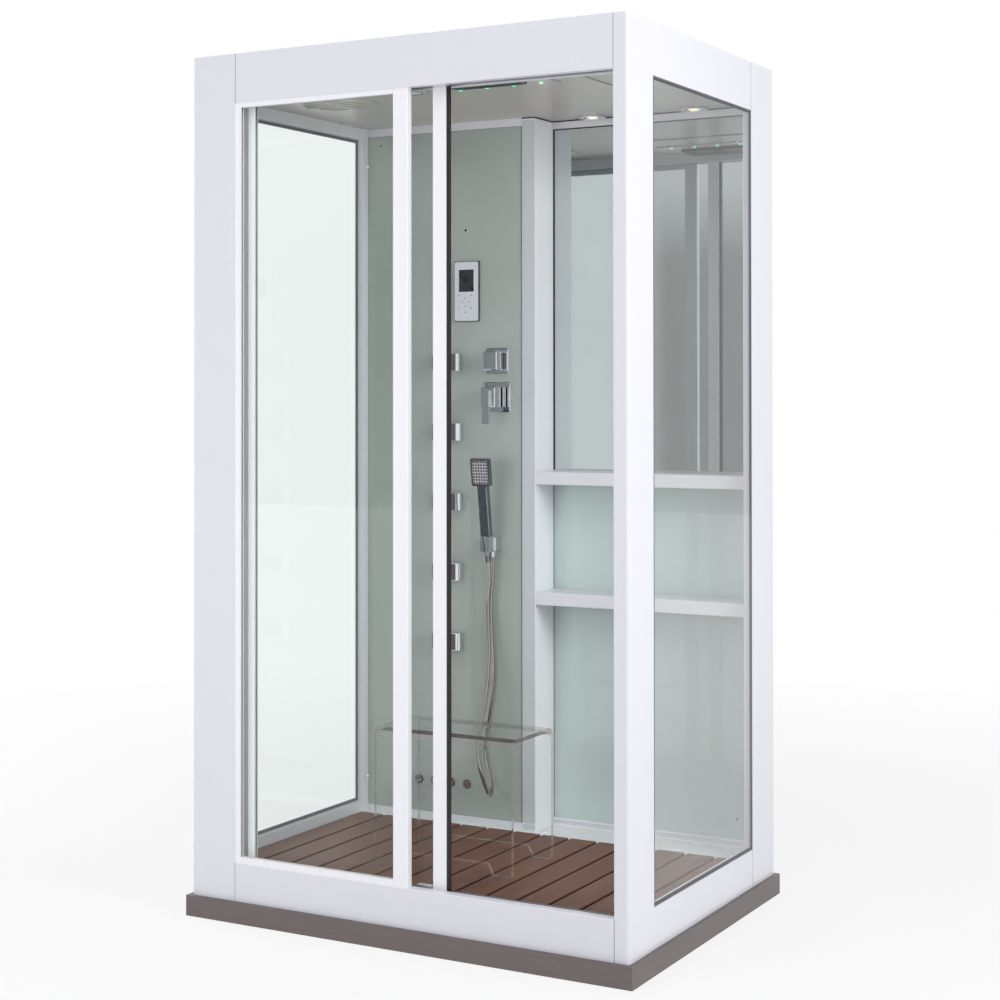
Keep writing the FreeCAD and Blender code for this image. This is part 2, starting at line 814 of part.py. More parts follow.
def valve_body(z, radius, bore):
    """Brass block behind the glass, with side ports, that carries the handle's stem."""
    body = box(valve_x - radius, valve_x + radius, valve_body_front,
               valve_body_front + valve_body_depth, z - radius, z + radius)
    neck = faceted((valve_x, y_tower + 0.5, z), (0, 1, 0), bore + 7,
                   valve_body_front - y_tower, 8)
    ports = faceted((valve_x - 34, pipe_y - 20, z), (1, 0, 0), 9, 68, 8)
    whole = fused([body, neck, ports])
    return whole.cut(rod((valve_x, y_tower - 1, z), (0, 1, 0), bore, 34))


def pipe_run(points, radius):
    """A stiff pipe behind the panels, of eight-sided lengths with block elbows."""
    parts = []
    for start, end in zip(points, points[1:]):
        step = Vector(*end) - Vector(*start)
        parts.append(faceted(start, tuple(step), radius, step.Length, 8))
    half = radius * 1.25
    for x, y, z in points[1:-1]:
        parts.append(box(x - half, x + half, y - half, y + half, z - half, z + half))
    return fused(parts)


def water_pipes():
    """Behind the glass: jet manifold, foot manifold, hot and cold feeds, outlet and rain pipes."""
    top_jet = jet_heights()[-1]
    foot_xs = foot_jet_xs()
    port = pipe_y - 20
    jets = pipe_run([(jet_x, pipe_y, foot_jet_z + foot_stub_half + 1),
                     (jet_x, pipe_y, top_jet + 30)], jet_pipe_radius)
    foot = pipe_run([(foot_xs[0] - 12, pipe_y, foot_jet_z), (foot_xs[-1] + 12, pipe_y, foot_jet_z)],
                    foot_pipe_radius)
    tee = pipe_run([(jet_x, pipe_y, diverter_z), (valve_x - 60, pipe_y, diverter_z),
                    (valve_x - 60, port, diverter_z), (valve_x - 34, port, diverter_z)], 8)
    manifold = fused([jets, foot, tee])
    runs = [manifold]
    for x, side in zip(water_xs, (-34, 34)):
        inlet = rod((x, y_cover - 6, water_z), (0, 1, 0), inlet_radius, overall_depth / 2 - y_cover + 6)
        nut = faceted((x, y_cover - 12, water_z), (0, 1, 0), 16, 11.5, 6)
        feed = pipe_run([(x, y_cover - 10, water_z), (x, port, water_z),
                         (x, port, mixer_z), (valve_x + side, port, mixer_z)], 8)
        bore = faceted((x, y_cover - 5, water_z), (0, 1, 0), 7, 40, 12)
        runs.append(fused([inlet, nut, feed]).cut(bore))
    return runs


def rain_pipe():
    """From the diverter up inside the tower and over the ceiling to the rain head."""
    over = z_ceiling + 30
    start = (valve_x + 34, rain_pipe_y, diverter_z)
    rain_y = rain_back - rain_depth / 2
    return pipe_run([start, (rain_pipe_x, rain_pipe_y, diverter_z), (rain_pipe_x, rain_pipe_y, over),
                     (rain_x, rain_pipe_y, over), (rain_x, rain_y, over),
                     (rain_x, rain_y, z_ceiling + ceiling_sheet + 1)], 8)


def steam_generator():
    """Small boiler on the back of the tower, piped to the steam outlet in the foot row."""
    x0 = tower_left + 20
    x1 = jet_x - 30
    tank = box(x0, x1, y_panel_back + 14, y_cover, boiler_foot, boiler_top)
    lid = box(x0 + 6, x1 - 6, y_panel_back + 20, y_cover - 6, boiler_top,
              boiler_top + boiler_lid)
    outlet_x = foot_jet_xs()[1]
    low = foot_jet_z + foot_stub_half
    down = faceted((outlet_x, pipe_y - 22, low), (0, 0, 1), 7, boiler_foot - low, 8)
    heater = faceted((x0 + 60, pipe_y, boiler_top + boiler_lid), (0, 0, 1), 16, 24, 8)
    return fused([tank, lid, down, heater])


# ---------------------------------------------------------------- mixer, diverter

handle_back = y_tower - valve_plate - 1
collar_front = handle_back - 8
tilt_y = collar_front + 5
cube_back = collar_front - 10
cube_front = cube_back - mixer_depth + 14


def mixer_collar():
    """Turning collar with a square outline; a pin across its cup carries the lever."""
    half_x = mixer_width / 2
    half_z = mixer_tall / 2
    cup_floor = tilt_y + 6.5
    collar = box(valve_x - half_x, valve_x + half_x, collar_front, handle_back,
                 mixer_z - half_z, mixer_z + half_z)
    hub = faceted((valve_x, collar_front, mixer_z), (0, 1, 0), 14, y_tower - collar_front, 16)
    stem = rod((valve_x, cup_floor, mixer_z), (0, 1, 0), stem_radius, 26)
    collar = fused([collar, hub, stem])
    collar = collar.cut(faceted((valve_x, collar_front - 1, mixer_z), (0, 1, 0), 12.5,
                                cup_floor - collar_front + 1, 16))
    pin = rod((valve_x - 17, tilt_y, mixer_z), (1, 0, 0), 2.5, 34)
    return fused([collar, pin])


def mixer_lever():
    """Chrome block and hanging paddle on a round neck that tilts about the collar's pin."""
    half_x = mixer_width / 2
    half_z = mixer_tall / 2
    block = box(valve_x - half_x, valve_x + half_x, cube_front, cube_back,
                mixer_z - half_z, mixer_z + half_z)
    block = block.makeChamfer(2.0, [edge for edge in block.Edges
                                    if abs(edge.BoundBox.Center.y - cube_front) < 0.01])
    neck = faceted((valve_x, cube_back - 1, mixer_z), (0, 1, 0), 8.5, tilt_y - cube_back, 12)
    knuckle = faceted((valve_x - 9, tilt_y, mixer_z), (1, 0, 0), 5.5, 18, 12)
    left = valve_x - half_x + 9
    paddle = box(left, left + lever_width, cube_front - lever_thick, cube_front,
                 mixer_z - lever_drop, mixer_z + half_z - 8)
    lever = fused([block, neck, knuckle, paddle])
    return lever.cut(rod((valve_x - 30, tilt_y, mixer_z), (1, 0, 0), 2.5 + running_fit, 60))


def diverter_knob():
    half_x = knob_width / 2
    half_z = knob_tall / 2
    back = handle_back
    knob = box(valve_x - half_x, valve_x + half_x, back - knob_depth, back,
               diverter_z - half_z, diverter_z + half_z)
    rim = [edge for edge in knob.Edges if abs(edge.BoundBox.Center.y - (back - knob_depth)) < 0.01]
    knob = knob.makeChamfer(2.0, rim)
    stem = rod((valve_x, back - 1, diverter_z), (0, 1, 0), stem_radius, 30)
    return fused([knob, stem])


# ---------------------------------------------------------------- hand shower

tilt = math.radians(handset_tilt)
handset_axis = Vector(0, -math.sin(tilt), math.cos(tilt))
cradle_centre = Vector(cradle_x, cradle_y, cradle_z)
cone_low = -cradle_tall / 2 - 10
cone_high = cradle_tall / 2 + 3
cone_sides = 16


def tilted(solid):
    """Turn a piece modelled upright at the cradle's centre to the handset's lean."""
    return solid.rotate(cradle_centre, Vector(1, 0, 0), handset_tilt)


def handset_cone(clearance):
    rings = []
    for height, radius in ((cone_low, 8.0), (cone_high, 11.0)):
        corners = []
        for side in range(cone_sides + 1):
            turn = 2 * math.pi * side / cone_sides
            corners.append(cradle_centre + Vector((radius + clearance) * math.cos(turn),
                                                  (radius + clearance) * math.sin(turn), height))
        rings.append(Part.makePolygon(corners))
    return Part.makeLoft(rings, True, True)


def wall_outlet():
    """Square wall elbow with the hose thread below and the slotted cradle on its front."""
    half = outlet_size / 2
    elbow_front = cradle_y + cradle_width / 2 + 2
    elbow = box(cradle_x - half, cradle_x + half, elbow_front, y_tower,
                cradle_z - half, cradle_z + half)
    cradle = box(cradle_x - cradle_width / 2, cradle_x + cradle_width / 2,
                 cradle_y - cradle_width / 2, elbow_front,
                 cradle_z - cradle_tall / 2, cradle_z + cradle_tall / 2)
    rise_y = pipe_y + 17
    pipe = pipe_run([(cradle_x, y_tower - 1, cradle_z), (cradle_x, rise_y, cradle_z),
                     (cradle_x, rise_y, diverter_z),
                     (cradle_x, valve_body_front + valve_body_depth, diverter_z)], 7)
    thread = faceted((cradle_x, hose_wall_y, cradle_z - half - 4), (0, 0, 1), 7, 5, 12)
    outlet = fused([elbow, cradle, pipe, thread])
    outlet = outlet.cut(tilted(handset_cone(rest_gap)))
    slot = box(cradle_x - 6, cradle_x + 6, cradle_y - cradle_width, cradle_y,
               cradle_z - cradle_tall, cradle_z + cradle_tall)
    return outlet.cut(slot)


def hose_nut(end, direction, radius, length):
    """Twelve-sided sleeve that the hose runs out of."""
    return faceted(tuple(end), tuple(direction), radius, length, 12)


def handset():
    """Flat stick handle on a conical foot with the hose nut, under a thin square head."""
    low = cradle_z + cone_high
    top = low + handle_length
    handle = box(cradle_x - handle_width / 2, cradle_x + handle_width / 2,
                 cradle_y - handle_thick / 2, cradle_y + handle_thick / 2, low - 0.5, top)
    handle = rounded(handle, 3, (0, 0, 1))
    shoulder_front = cradle_y - handle_thick / 2 - 2
    head = box(cradle_x - head_width / 2, cradle_x + head_width / 2,
               shoulder_front, shoulder_front + head_thick, top - 1, top + head_tall - 1)
    head = rounded(head, 4, (0, 1, 0))
    seat = box(cradle_x - head_width / 2 + 5, cradle_x + head_width / 2 - 5,
               shoulder_front - 1, shoulder_front + 1.5, top + 5, top + head_tall - 7)
    nut = hose_nut(cradle_centre + Vector(0, 0, cone_low + 1), Vector(0, 0, -1),
                   handset_nut_radius, nut_length + 1)
    body = fused([handle, head, handset_cone(0), nut])
    return tilted(body.cut(seat))


def spray_plate():
    low = cradle_z + cone_high + handle_length
    front = cradle_y - handle_thick / 2 - 2
    plate = box(cradle_x - head_width / 2 + 5, cradle_x + head_width / 2 - 5,
                front + 0.3, front + 1.5, low + 5, low + head_tall - 7)
    return tilted(plate)


def wall_nut():
    top = Vector(cradle_x, hose_wall_y, cradle_z - outlet_size / 2)
    nut = hose_nut(top, Vector(0, 0, -1), nut_radius, nut_length)
    return nut.cut(faceted((top.x, top.y, top.z - 4), (0, 0, 1), 7, 5, 12))


def hose_route():
    """The hose from the handset's nut, down, round its lowest bend and up to the wall's nut."""
    start = cradle_centre + handset_axis * (cone_low - nut_length - rest_gap)
    end = Vector(cradle_x, hose_wall_y, cradle_z - outlet_size / 2 - nut_length)
    between = [(0, -18.08, -99), (-8, -17, -152), (-3, -22, -212), (8, -34, -282),
               (15, -55, -352), (18, -81, -422), (14, -107, -487), (20, -121, -550),
               (35, -115, -608), (35, -88, -649), (19, -46, -665), (1.5, -6, -649),
               (-22, 8, -608), (-32, 6, -556), (-24, 6, -500), (-13.5, 6, -434), (-3, 6, -360),
               (-5, 5, -282), (-9.5, 4, -206), (-8, 1, -140), (0, 0, -86)]
    outlet = Vector(cradle_x, hose_wall_y, cradle_z)
    return [start] + [outlet + Vector(*point) for point in between] + [end]


def tube_path(points):
    """Straight runs joined by tangent arcs, each as large as its two runs allow."""
    edges = []
    radii = []
    here = points[0]
    length = 0.0
    for before, corner, after in zip(points, points[1:], points[2:]):
        inward = (corner - before)
        outward = (after - corner)
        reach = 0.45 * min(inward.Length, outward.Length)
        inward.normalize()
        outward.normalize()
        turn = inward.getAngle(outward)
        radius = reach / math.tan(turn / 2)
        radii.append(radius)
        arc_start = corner - inward * reach
        arc_end = corner + outward * reach
        bisector = outward - inward
        bisector.normalize()
        centre = corner + bisector * (radius / math.cos(turn / 2))
        middle = centre - bisector * radius
        edges.append(Part.LineSegment(here, arc_start).toShape())
        edges.append(Part.Arc(arc_start, middle, arc_end).toShape())
        length += (arc_start - here).Length + radius * turn
        here = arc_end
    edges.append(Part.LineSegment(here, points[-1]).toShape())
    length += (points[-1] - here).Length
    return Part.Wire(edges), length, radii


def shower_hose():
    points = hose_route()
    path, length, radii = tube_path(points)
    across = Vector(0, 1, 0).cross(points[1] - points[0])
    across.normalize()
    up = (points[1] - points[0]).cross(across)
    up.normalize()
    corners = []
    for side in range(hose_sides + 1):
        turn = 2 * math.pi * side / hose_sides
        corners.append(points[0] + across * (hose_radius * math.cos(turn))
                       + up * (hose_radius * math.sin(turn)))
    ring = Part.makePolygon(corners)
    hose = path.makePipeShell([ring], True, False)
    section = hose_sides / 2 * hose_radius ** 2 * math.sin(2 * math.pi / hose_sides)
    print("hose length %.0f mm, volume over section x length %.4f, least radius %.0f mm"
          % (length, hose.Volume / (section * length), min(radii)))
    print("hose radii", " ".join("%.0f" % radius for radius in radii))
    return hose


# ---------------------------------------------------------------- ceiling

rain_z = z_ceiling - 2 * ceiling_step
step_back = y_front_in + 318.0
step_left = 186.0
step_right = 224.0
downlight_places = ((107.0, y_tower + 58.0), (394.0, y_tower + 58.0), (-85.0, y_front_in + 150.0))


def ceiling_panel():
    """Moulded sheet that steps down twice towards the rain head, holed for every fitting."""
    front = y_front_in
    sheet = box(-x_in, x_in, front, y_cover, z_ceiling, z_ceiling + ceiling_sheet)
    half = rain_width / 2 + step_margin
    first = box(rain_x - step_left, rain_x + step_right, front, step_back,
                z_ceiling - ceiling_step, z_ceiling)
    second = box(rain_x - half, rain_x + half, front, led_y + led_margin, rain_z,
                 z_ceiling - ceiling_step)
    panel = fused([sheet, first, second])
    panel = panel.cut(faceted((fan_x, fan_y, z_ceiling - 9), (0, 0, 1), fan_duct, 20, 32))
    for x, y in downlight_places:
        panel = panel.cut(faceted((x, y, z_ceiling - 9), (0, 0, 1), lamp_radius + 4, 20, 20))
    panel = panel.cut(faceted((rain_pipe_x, rain_pipe_y, z_ceiling - 1), (0, 0, 1), 9, 20, 8))
    rain_y = (rain_front + rain_back) / 2
    return panel.cut(faceted((rain_x, rain_y, rain_z - 1), (0, 0, 1), 9, 20, 8))


def rain_head():
    head = rounded(box(rain_x - rain_width / 2, rain_x + rain_width / 2, rain_front, rain_back,
                       rain_z - rain_thick, rain_z), rain_round, (0, 0, 1))
    stem = faceted((rain_x, (rain_front + rain_back) / 2, rain_z), (0, 0, 1), 8.5,
                   2 * ceiling_step + ceiling_sheet + 1, 8)
    head = fused([head, stem])
    for row in range(-3, 4):
        y = (rain_front + rain_back) / 2 + row * 15
        head = head.cut(box(rain_x - rain_width / 2 + 18, rain_x + rain_width / 2 - 18, y - 1.5, y + 1.5,
                            rain_z - rain_thick - 1, rain_z - rain_thick + 1.5))
    return head


def ceiling_lamps():
    """Small colour lamps in a row behind the rain head, and the lenses of the downlights."""
    lamps = []
    for place in range(led_count):
        x = rain_x + (place - (led_count - 1) / 2) * led_pitch
        lamps.append(faceted((x, led_y, rain_z - 1.2), (0, 0, 1), led_radius, 1.2, 10))
    for x, y in downlight_places:
        z = downlight_seat(x, y)
        lamps.append(faceted((x, y, z - 3), (0, 0, 1), lamp_radius - 0.2, 16, 20))
    return lamps


def downlight_seat(x, y):
    """Height of the ceiling's face where a downlight sits."""
    on_step = -step_left < x - rain_x < step_right and y < step_back
    return z_ceiling - ceiling_step if on_step else z_ceiling


def downlight_ring(x, y):
    z = downlight_seat(x, y)
    bezel = faceted((x, y, z - 6), (0, 0, 1), downlight_radius, 6, 20)
    sleeve = faceted((x, y, z), (0, 0, 1), lamp_radius + 3.5, 14, 20)
    ring = fused([bezel, sleeve])
    return ring.cut(faceted((x, y, z - 7), (0, 0, 1), lamp_radius, 30, 20))


def fan_grille():
    """Round cover with rows of slots on both sides of a middle web."""
    thick = 6.0
    cover = Part.makeCone(fan_radius - 5, fan_radius, thick, Vector(fan_x, fan_y, z_ceiling - thick))
    for row in range(-3, 4):
        reach = math.sqrt((fan_duct - 6) ** 2 - (row * 22) ** 2)
        for side in (-1, 1):
            x = fan_x + side * reach / 2
            half = reach / 2 - 2
            slot_part = box(x - half, x + half, fan_y + row * 22 - 6, fan_y + row * 22 + 6,
                            z_ceiling - thick - 1, z_ceiling + 1)
            cover = cover.cut(slot_part)
    return cover


fan_floor = z_ceiling + ceiling_sheet
fan_roof = fan_floor + fan_drum


def fan_housing():
    """Duct ring with three struts and the motor that the impeller hangs from."""
    tall = fan_roof - fan_floor
    tube = faceted((fan_x, fan_y, fan_floor), (0, 0, 1), fan_duct + 3, tall, 32)
    tube = tube.cut(faceted((fan_x, fan_y, fan_floor - 1), (0, 0, 1), fan_duct, tall + 2, 32))
    motor = faceted((fan_x, fan_y, fan_roof - 28), (0, 0, 1), 22, 28, 16)
    shaft = rod((fan_x, fan_y, fan_roof - 52), (0, 0, 1), 3, 30)
    parts = [tube, motor, shaft]
    for arm in range(3):
        strut = box(fan_x, fan_x + fan_duct + 1, fan_y - 4, fan_y + 4, fan_roof - 6, fan_roof)
        parts.append(strut.rotate(Vector(fan_x, fan_y, 0), Vector(0, 0, 1), arm * 120))
    return fused(parts)


def fan_impeller():
    hub_low = fan_roof - 50
    hub = faceted((fan_x, fan_y, hub_low), (0, 0, 1), 20, 20, 16)
    parts = [hub]
    for blade in range(blade_count):
        vane = box(fan_x + 18, fan_x + fan_duct - 8, fan_y - 16, fan_y + 16, hub_low + 9, hub_low + 11)
        vane = vane.rotate(Vector(fan_x, fan_y, hub_low + 10), Vector(1, 0, 0), 28)
        parts.append(vane.rotate(Vector(fan_x, fan_y, 0), Vector(0, 0, 1), blade * 360 / blade_count))
    impeller = fused(parts)
    return impeller.cut(rod((fan_x, fan_y, hub_low - 1), (0, 0, 1), 3 + running_fit, 22))


def roof_cover():
    """Top sheet inside the headers, with a raised field and a slotted outlet over the fan."""
    edge = x_in
    z1 = z_top - 6
    front = y_front_in
    back = y_cover
    sheet = box(-edge, edge, front, back, z1 - roof_sheet, z1)
    field = box(-edge + 90, edge - 90, front + 80, back - 110, z1, z1 + 4)
    cover = fused([sheet, rounded(field, 20, (0, 0, 1))])
    for slot in range(-4, 5):
        cover = cover.cut(box(fan_x - 70, fan_x + 70, fan_y + slot * 16 - 3, fan_y + slot * 16 + 3,
                              z1 - roof_sheet - 1, z1 + 5))
    return cover


# ---------------------------------------------------------------- duckboard and stool

slats_low = slats_top - slat_thick
slats_front = y_front_in + fit_gap + tray_wall + 4
slats_left = -x_in + fit_gap + tray_wall + 3.5


def slats():
    """Full boards from the left, and one ripped to what is left at the right."""
    boards = []
    x = slats_left
    while x < -slats_left - 10:
        right = min(x + slat_width, -slats_left)
        board = box(x, right, slats_front, slats_back, slats_low, slats_top)
        rims = [edge for edge in board.Edges
                if abs(edge.BoundBox.Center.z - slats_top) < 0.01 and edge.BoundBox.YLength > 100]
        boards.append(board.makeChamfer(1.5, rims))
        x = right + slat_gap
    return boards


def battens():
    low = z_tray_floor + rest_gap
    span = slats_back - slats_front
    bars = []
    for share in (0.1, 0.5, 0.9):
        y = slats_front + span * share
        bars.append(box(slats_left + 10, -slats_left - 10, y - batten_width / 2, y + batten_width / 2,
                        low, slats_low))
    return bars


def stool():
    """One bent acrylic sheet: a top and two panels, each cut away between two feet."""
    floor = slats_top + rest_gap
    top = slats_top + stool_height
    back = stool_front + stool_depth
    right = stool_left + stool_length
    shell = box(stool_left, right, stool_front, back, floor, top)
    middle = stool_left + stool_length / 2
    shell = shell.makeFillet(stool_bend, edges_near(shell, [
        (middle, stool_front, top), (middle, back, top)]))
    hollow = box(stool_left - 1, right + 1, stool_front + stool_sheet, back - stool_sheet,
                 floor - 1, top - stool_sheet)
    hollow = hollow.makeFillet(stool_bend - stool_sheet, edges_near(hollow, [
        (middle, stool_front + stool_sheet, top - stool_sheet),
        (middle, back - stool_sheet, top - stool_sheet)]))
    slope = stool_notch / 2
    notch = along_y([(stool_left + stool_foot, floor - 1), (right - stool_foot, floor - 1),
                     (right - stool_foot - slope, floor + stool_notch),
                     (stool_left + stool_foot + slope, floor + stool_notch)],
                    stool_front - 1, back + 1)
    return shell.cut(hollow).cut(notch)


# ---------------------------------------------------------------- assembly

frame_tubes, feet = base_and_feet()
pad_body, pad_screen = control_pad()
side_rail_top = side_rail(z_header, z_top)
side_rail_low = side_rail(z_base, z_sill)
right_gasket = side_gasket()
right_back_post = back_right_post()

keep("plinth_skirt", plinth_skirt())
keep("base_frame", frame_tubes)
keep("levelling_feet", *feet)
keep("shower_tray", shower_tray())
keep("drain_trap", drain_trap())
keep("drain_grate", drain_grate())
keep("corner_post_front_left", front_left_post())
keep("corner_post_front_right", front_right_post())
keep("corner_posts_back", right_back_post, mirrored(right_back_post))
keep("header_front", front_header())
keep("header_rails", side_rail_top, mirrored(side_rail_top), back_header())
keep("sill_front", front_sill())
keep("sill_rails", side_rail_low, mirrored(side_rail_low), back_sill())
keep("roof_cover", roof_cover())
keep("ceiling_panel", ceiling_panel())
keep("side_glass", *side_panes())
keep("fixed_front_glass", fixed_pane())
keep("rubber_seals", right_gasket, mirrored(right_gasket), *track_buffers())
keep("fixed_glass_profiles", *fixed_pane_profiles())
keep("door_tracks", top_track(), bottom_track())
keep("back_panels", *back_panels())
keep("mirror", recess_sheet(upper_shelf_top, glass_z1))
keep("recess_glass", recess_sheet(lower_shelf_top, upper_shelf_top - shelf_thick),
     recess_sheet(glass_z0, lower_shelf_top - shelf_thick))
keep("inner_trims", *inner_trims())
keep("shelves", shelf(upper_shelf_top), shelf(lower_shelf_top))
keep("tower_glass", tower_glass())
keep("tower_column", tower_column())
keep("control_pad", pad_body)
keep("control_screen", pad_screen)
keep("body_jets", *[body_jet(z) for z in jet_heights()])
keep("jet_nozzle_pads", *[jet_pad(z) for z in jet_heights()])
keep("foot_jets", *[foot_jet(x) for x in foot_jet_xs()])
keep("valve_plates", valve_rosette(mixer_z, mixer_plate_size, 15),
     valve_rosette(diverter_z, diverter_plate_size, 14))
keep("valve_bodies", valve_body(mixer_z, 24, stem_radius + running_fit),
     valve_body(diverter_z, 20, stem_radius + running_fit))
keep("water_pipes", *water_pipes(), rain_pipe())
keep("steam_generator", steam_generator())
keep("wall_outlet", wall_outlet())
keep("hose_nut_wall", wall_nut())
keep("shower_hose", shower_hose())
keep("rain_head", rain_head())
keep("ceiling_lamps", *ceiling_lamps())
keep("downlight_rings", *[downlight_ring(x, y) for x, y in downlight_places])
keep("fan_grille", fan_grille())
keep("fan_housing", fan_housing())
keep("fan_impeller", fan_impeller())
keep("door_glass", door_pane())
keep("door_lead_stile", door_stile(door_lead, door_lead + lead_profile, "left"))
keep("door_trail_stile", door_stile(door_trail, door_trail + trail_profile, "right"))
keep("door_seal", door_seal())
keep("door_hangers", *hanger(hanger_xs[0]), *hanger(hanger_xs[1]),
     guide_shoe(hanger_xs[0]), guide_shoe(hanger_xs[1]))
keep("roller_left", top_wheel(hanger_xs[0]))
keep("roller_right", top_wheel(hanger_xs[1]))
keep("mixer_collar", mixer_collar())
keep("mixer_lever", mixer_lever())
keep("diverter_knob", diverter_knob())
keep("handset_body", handset())
keep("spray_plate", spray_plate())
keep("duckboard_slats", *slats())
keep("duckboard_battens", *battens())
keep("stool", stool())

os.makedirs("parts", exist_ok=True)
for name, solids in pieces.items():
    shape = solids[0] if len(solids) == 1 else Part.makeCompound(solids)
    shape.exportStep("parts/%s.step" % name)
print("door travel %.1f mm, wheel centre height %.1f mm, pieces %d"
      % (door_travel, wheel_z, len(pieces)))
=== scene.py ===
# A white framed steam shower cabin with a sliding glass door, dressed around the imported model.
# Metres. X to the right as the bather walks in, -Y the front, Z up, origin on the floor.
import bpy
import bmesh
import json
import math
from mathutils import Matrix, Vector


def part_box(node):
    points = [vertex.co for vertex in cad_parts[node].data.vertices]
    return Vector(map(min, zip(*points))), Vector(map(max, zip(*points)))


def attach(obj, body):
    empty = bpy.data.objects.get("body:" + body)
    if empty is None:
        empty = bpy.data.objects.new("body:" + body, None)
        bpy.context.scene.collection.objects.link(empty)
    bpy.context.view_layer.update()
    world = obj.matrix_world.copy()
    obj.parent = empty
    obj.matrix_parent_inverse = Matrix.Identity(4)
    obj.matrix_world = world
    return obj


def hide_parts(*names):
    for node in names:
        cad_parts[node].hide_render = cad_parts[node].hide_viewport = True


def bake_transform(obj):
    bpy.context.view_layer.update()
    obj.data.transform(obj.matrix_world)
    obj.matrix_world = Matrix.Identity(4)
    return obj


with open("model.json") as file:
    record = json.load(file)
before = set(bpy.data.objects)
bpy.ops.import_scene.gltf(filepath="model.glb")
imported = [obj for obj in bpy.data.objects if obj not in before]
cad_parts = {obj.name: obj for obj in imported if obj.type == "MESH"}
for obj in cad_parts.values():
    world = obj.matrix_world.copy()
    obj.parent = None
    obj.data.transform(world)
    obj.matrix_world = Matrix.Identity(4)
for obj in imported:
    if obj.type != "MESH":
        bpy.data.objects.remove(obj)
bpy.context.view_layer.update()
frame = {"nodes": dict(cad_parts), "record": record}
nodes = frame["nodes"]
print("frame loaded with", len(nodes), "nodes")


# ---- camera ----
cameraLook = {
    "place": (2.2914, -4.0769, 1.2822),
    "turn": 28.994,  # degrees, to the left of straight ahead
    "tip": 0.586,
    "roll": -0.046,
    "lens": 67.22,
    "shiftDown": 0.1286,
}


def placeCamera(look):
    camera = bpy.data.objects.new("photoCamera", bpy.data.cameras.new("photoCamera"))
    bpy.context.collection.objects.link(camera)
    camera.data.lens = look["lens"]
    camera.data.sensor_width = 36
    camera.data.shift_y = -look["shiftDown"]
    camera.data.clip_end = 60
    turned = Matrix.Rotation(math.radians(look["turn"]), 4, "Z")
    tipped = Matrix.Rotation(math.radians(90 + look["tip"]), 4, "X")
    rolled = Matrix.Rotation(math.radians(look["roll"]), 4, "Z")
    camera.matrix_world = Matrix.Translation(look["place"]) @ turned @ tipped @ rolled
    bpy.context.scene.camera = camera


placeCamera(cameraLook)


# ---- finishes ----
def paint(red, green, blue):
    linear = [c / 255 / 12.92 if c < 11 else ((c / 255 + 0.055) / 1.055) ** 2.4
              for c in (red, green, blue)]
    return (*linear, 1)


def addNode(tree, kind, inputs=None, **settings):
    node = tree.nodes.new(kind)
    for setting, value in settings.items():
        setattr(node, setting, value)
    for socket, value in (inputs or {}).items():
        if isinstance(value, bpy.types.NodeSocket):
            tree.links.new(value, node.inputs[socket])
        else:
            node.inputs[socket].default_value = value
    return node


finishes = {}


def newFinish(name, colour, **sockets):
    finish = bpy.data.materials.new(name)
    finish.use_nodes = True
    shader = finish.node_tree.nodes["Principled BSDF"]
    shader.inputs["Base Color"].default_value = colour
    for socket, value in sockets.items():
        shader.inputs[socket.replace("_", " ")].default_value = value
    finishes[name] = finish
    return finish


def objectPlace(tree, stretch=(1, 1, 1)):
    place = addNode(tree, "ShaderNodeTexCoord")
    return addNode(tree, "ShaderNodeMapping",
                   {"Vector": place.outputs["Object"], "Scale": stretch}).outputs["Vector"]


def mixColour(tree, factor, first, second, blend="MIX"):
    mix = addNode(tree, "ShaderNodeMix", {0: factor, 6: first, 7: second},
                  data_type="RGBA", blend_type=blend)
    return mix.outputs[2]


def spread(tree, value, lowest, highest, start=0.3, end=0.7):
    return addNode(tree, "ShaderNodeMapRange",
                   {"Value": value, "From Min": start, "From Max": end,
                    "To Min": lowest, "To Max": highest}).outputs["Result"]


def clouds(tree, scale, stretch=(1, 1, 1), detail=3.0):
    return addNode(tree, "ShaderNodeTexNoise",
                   {"Vector": objectPlace(tree, stretch), "Scale": scale,
                    "Detail": detail}).outputs["Fac"]


def texture(finish, dark, pale, rough, scale, stretch=(1, 1, 1), bump=0.0, height=0.0004,
            detail=3.0):
    # Two tints, a span of roughness and a bump from one stretched noise.
    tree = finish.node_tree
    shader = tree.nodes["Principled BSDF"]
    noise = clouds(tree, scale, stretch, detail)
    tree.links.new(mixColour(tree, spread(tree, noise, 0, 1), dark, pale),
                   shader.inputs["Base Color"])
    tree.links.new(spread(tree, noise, rough[0], rough[1]), shader.inputs["Roughness"])
    if bump:
        raised = addNode(tree, "ShaderNodeBump",
                         {"Height": noise, "Strength": bump, "Distance": height})
        tree.links.new(raised.outputs["Normal"], shader.inputs["Normal"])
    return finish


def grainedFinish(name, colour, dark, pale, rough, scale, stretch=(1, 1, 1), bump=0.0,
                  height=0.0004, detail=3.0, **sockets):
    # Most finishes: a colour from 0 to 255, two tints near it and the texture's sizes.
    return texture(newFinish(name, paint(*colour), **sockets), paint(*dark), paint(*pale),
                   rough, scale, stretch, bump, height, detail)


def passLampLight(finish, tint):
    # Lamps shine through the sheet, so what stands behind it is lit.
    tree = finish.node_tree
    path = addNode(tree, "ShaderNodeLightPath")
    clear = addNode(tree, "ShaderNodeBsdfTransparent", {"Color": tint})
    shader = tree.nodes["Principled BSDF"]
    mixed = addNode(tree, "ShaderNodeMixShader",
                    {0: path.outputs["Is Shadow Ray"], 1: shader.outputs["BSDF"],
                     2: clear.outputs["BSDF"]})
    tree.links.new(mixed.outputs["Shader"], tree.nodes["Material Output"].inputs["Surface"])


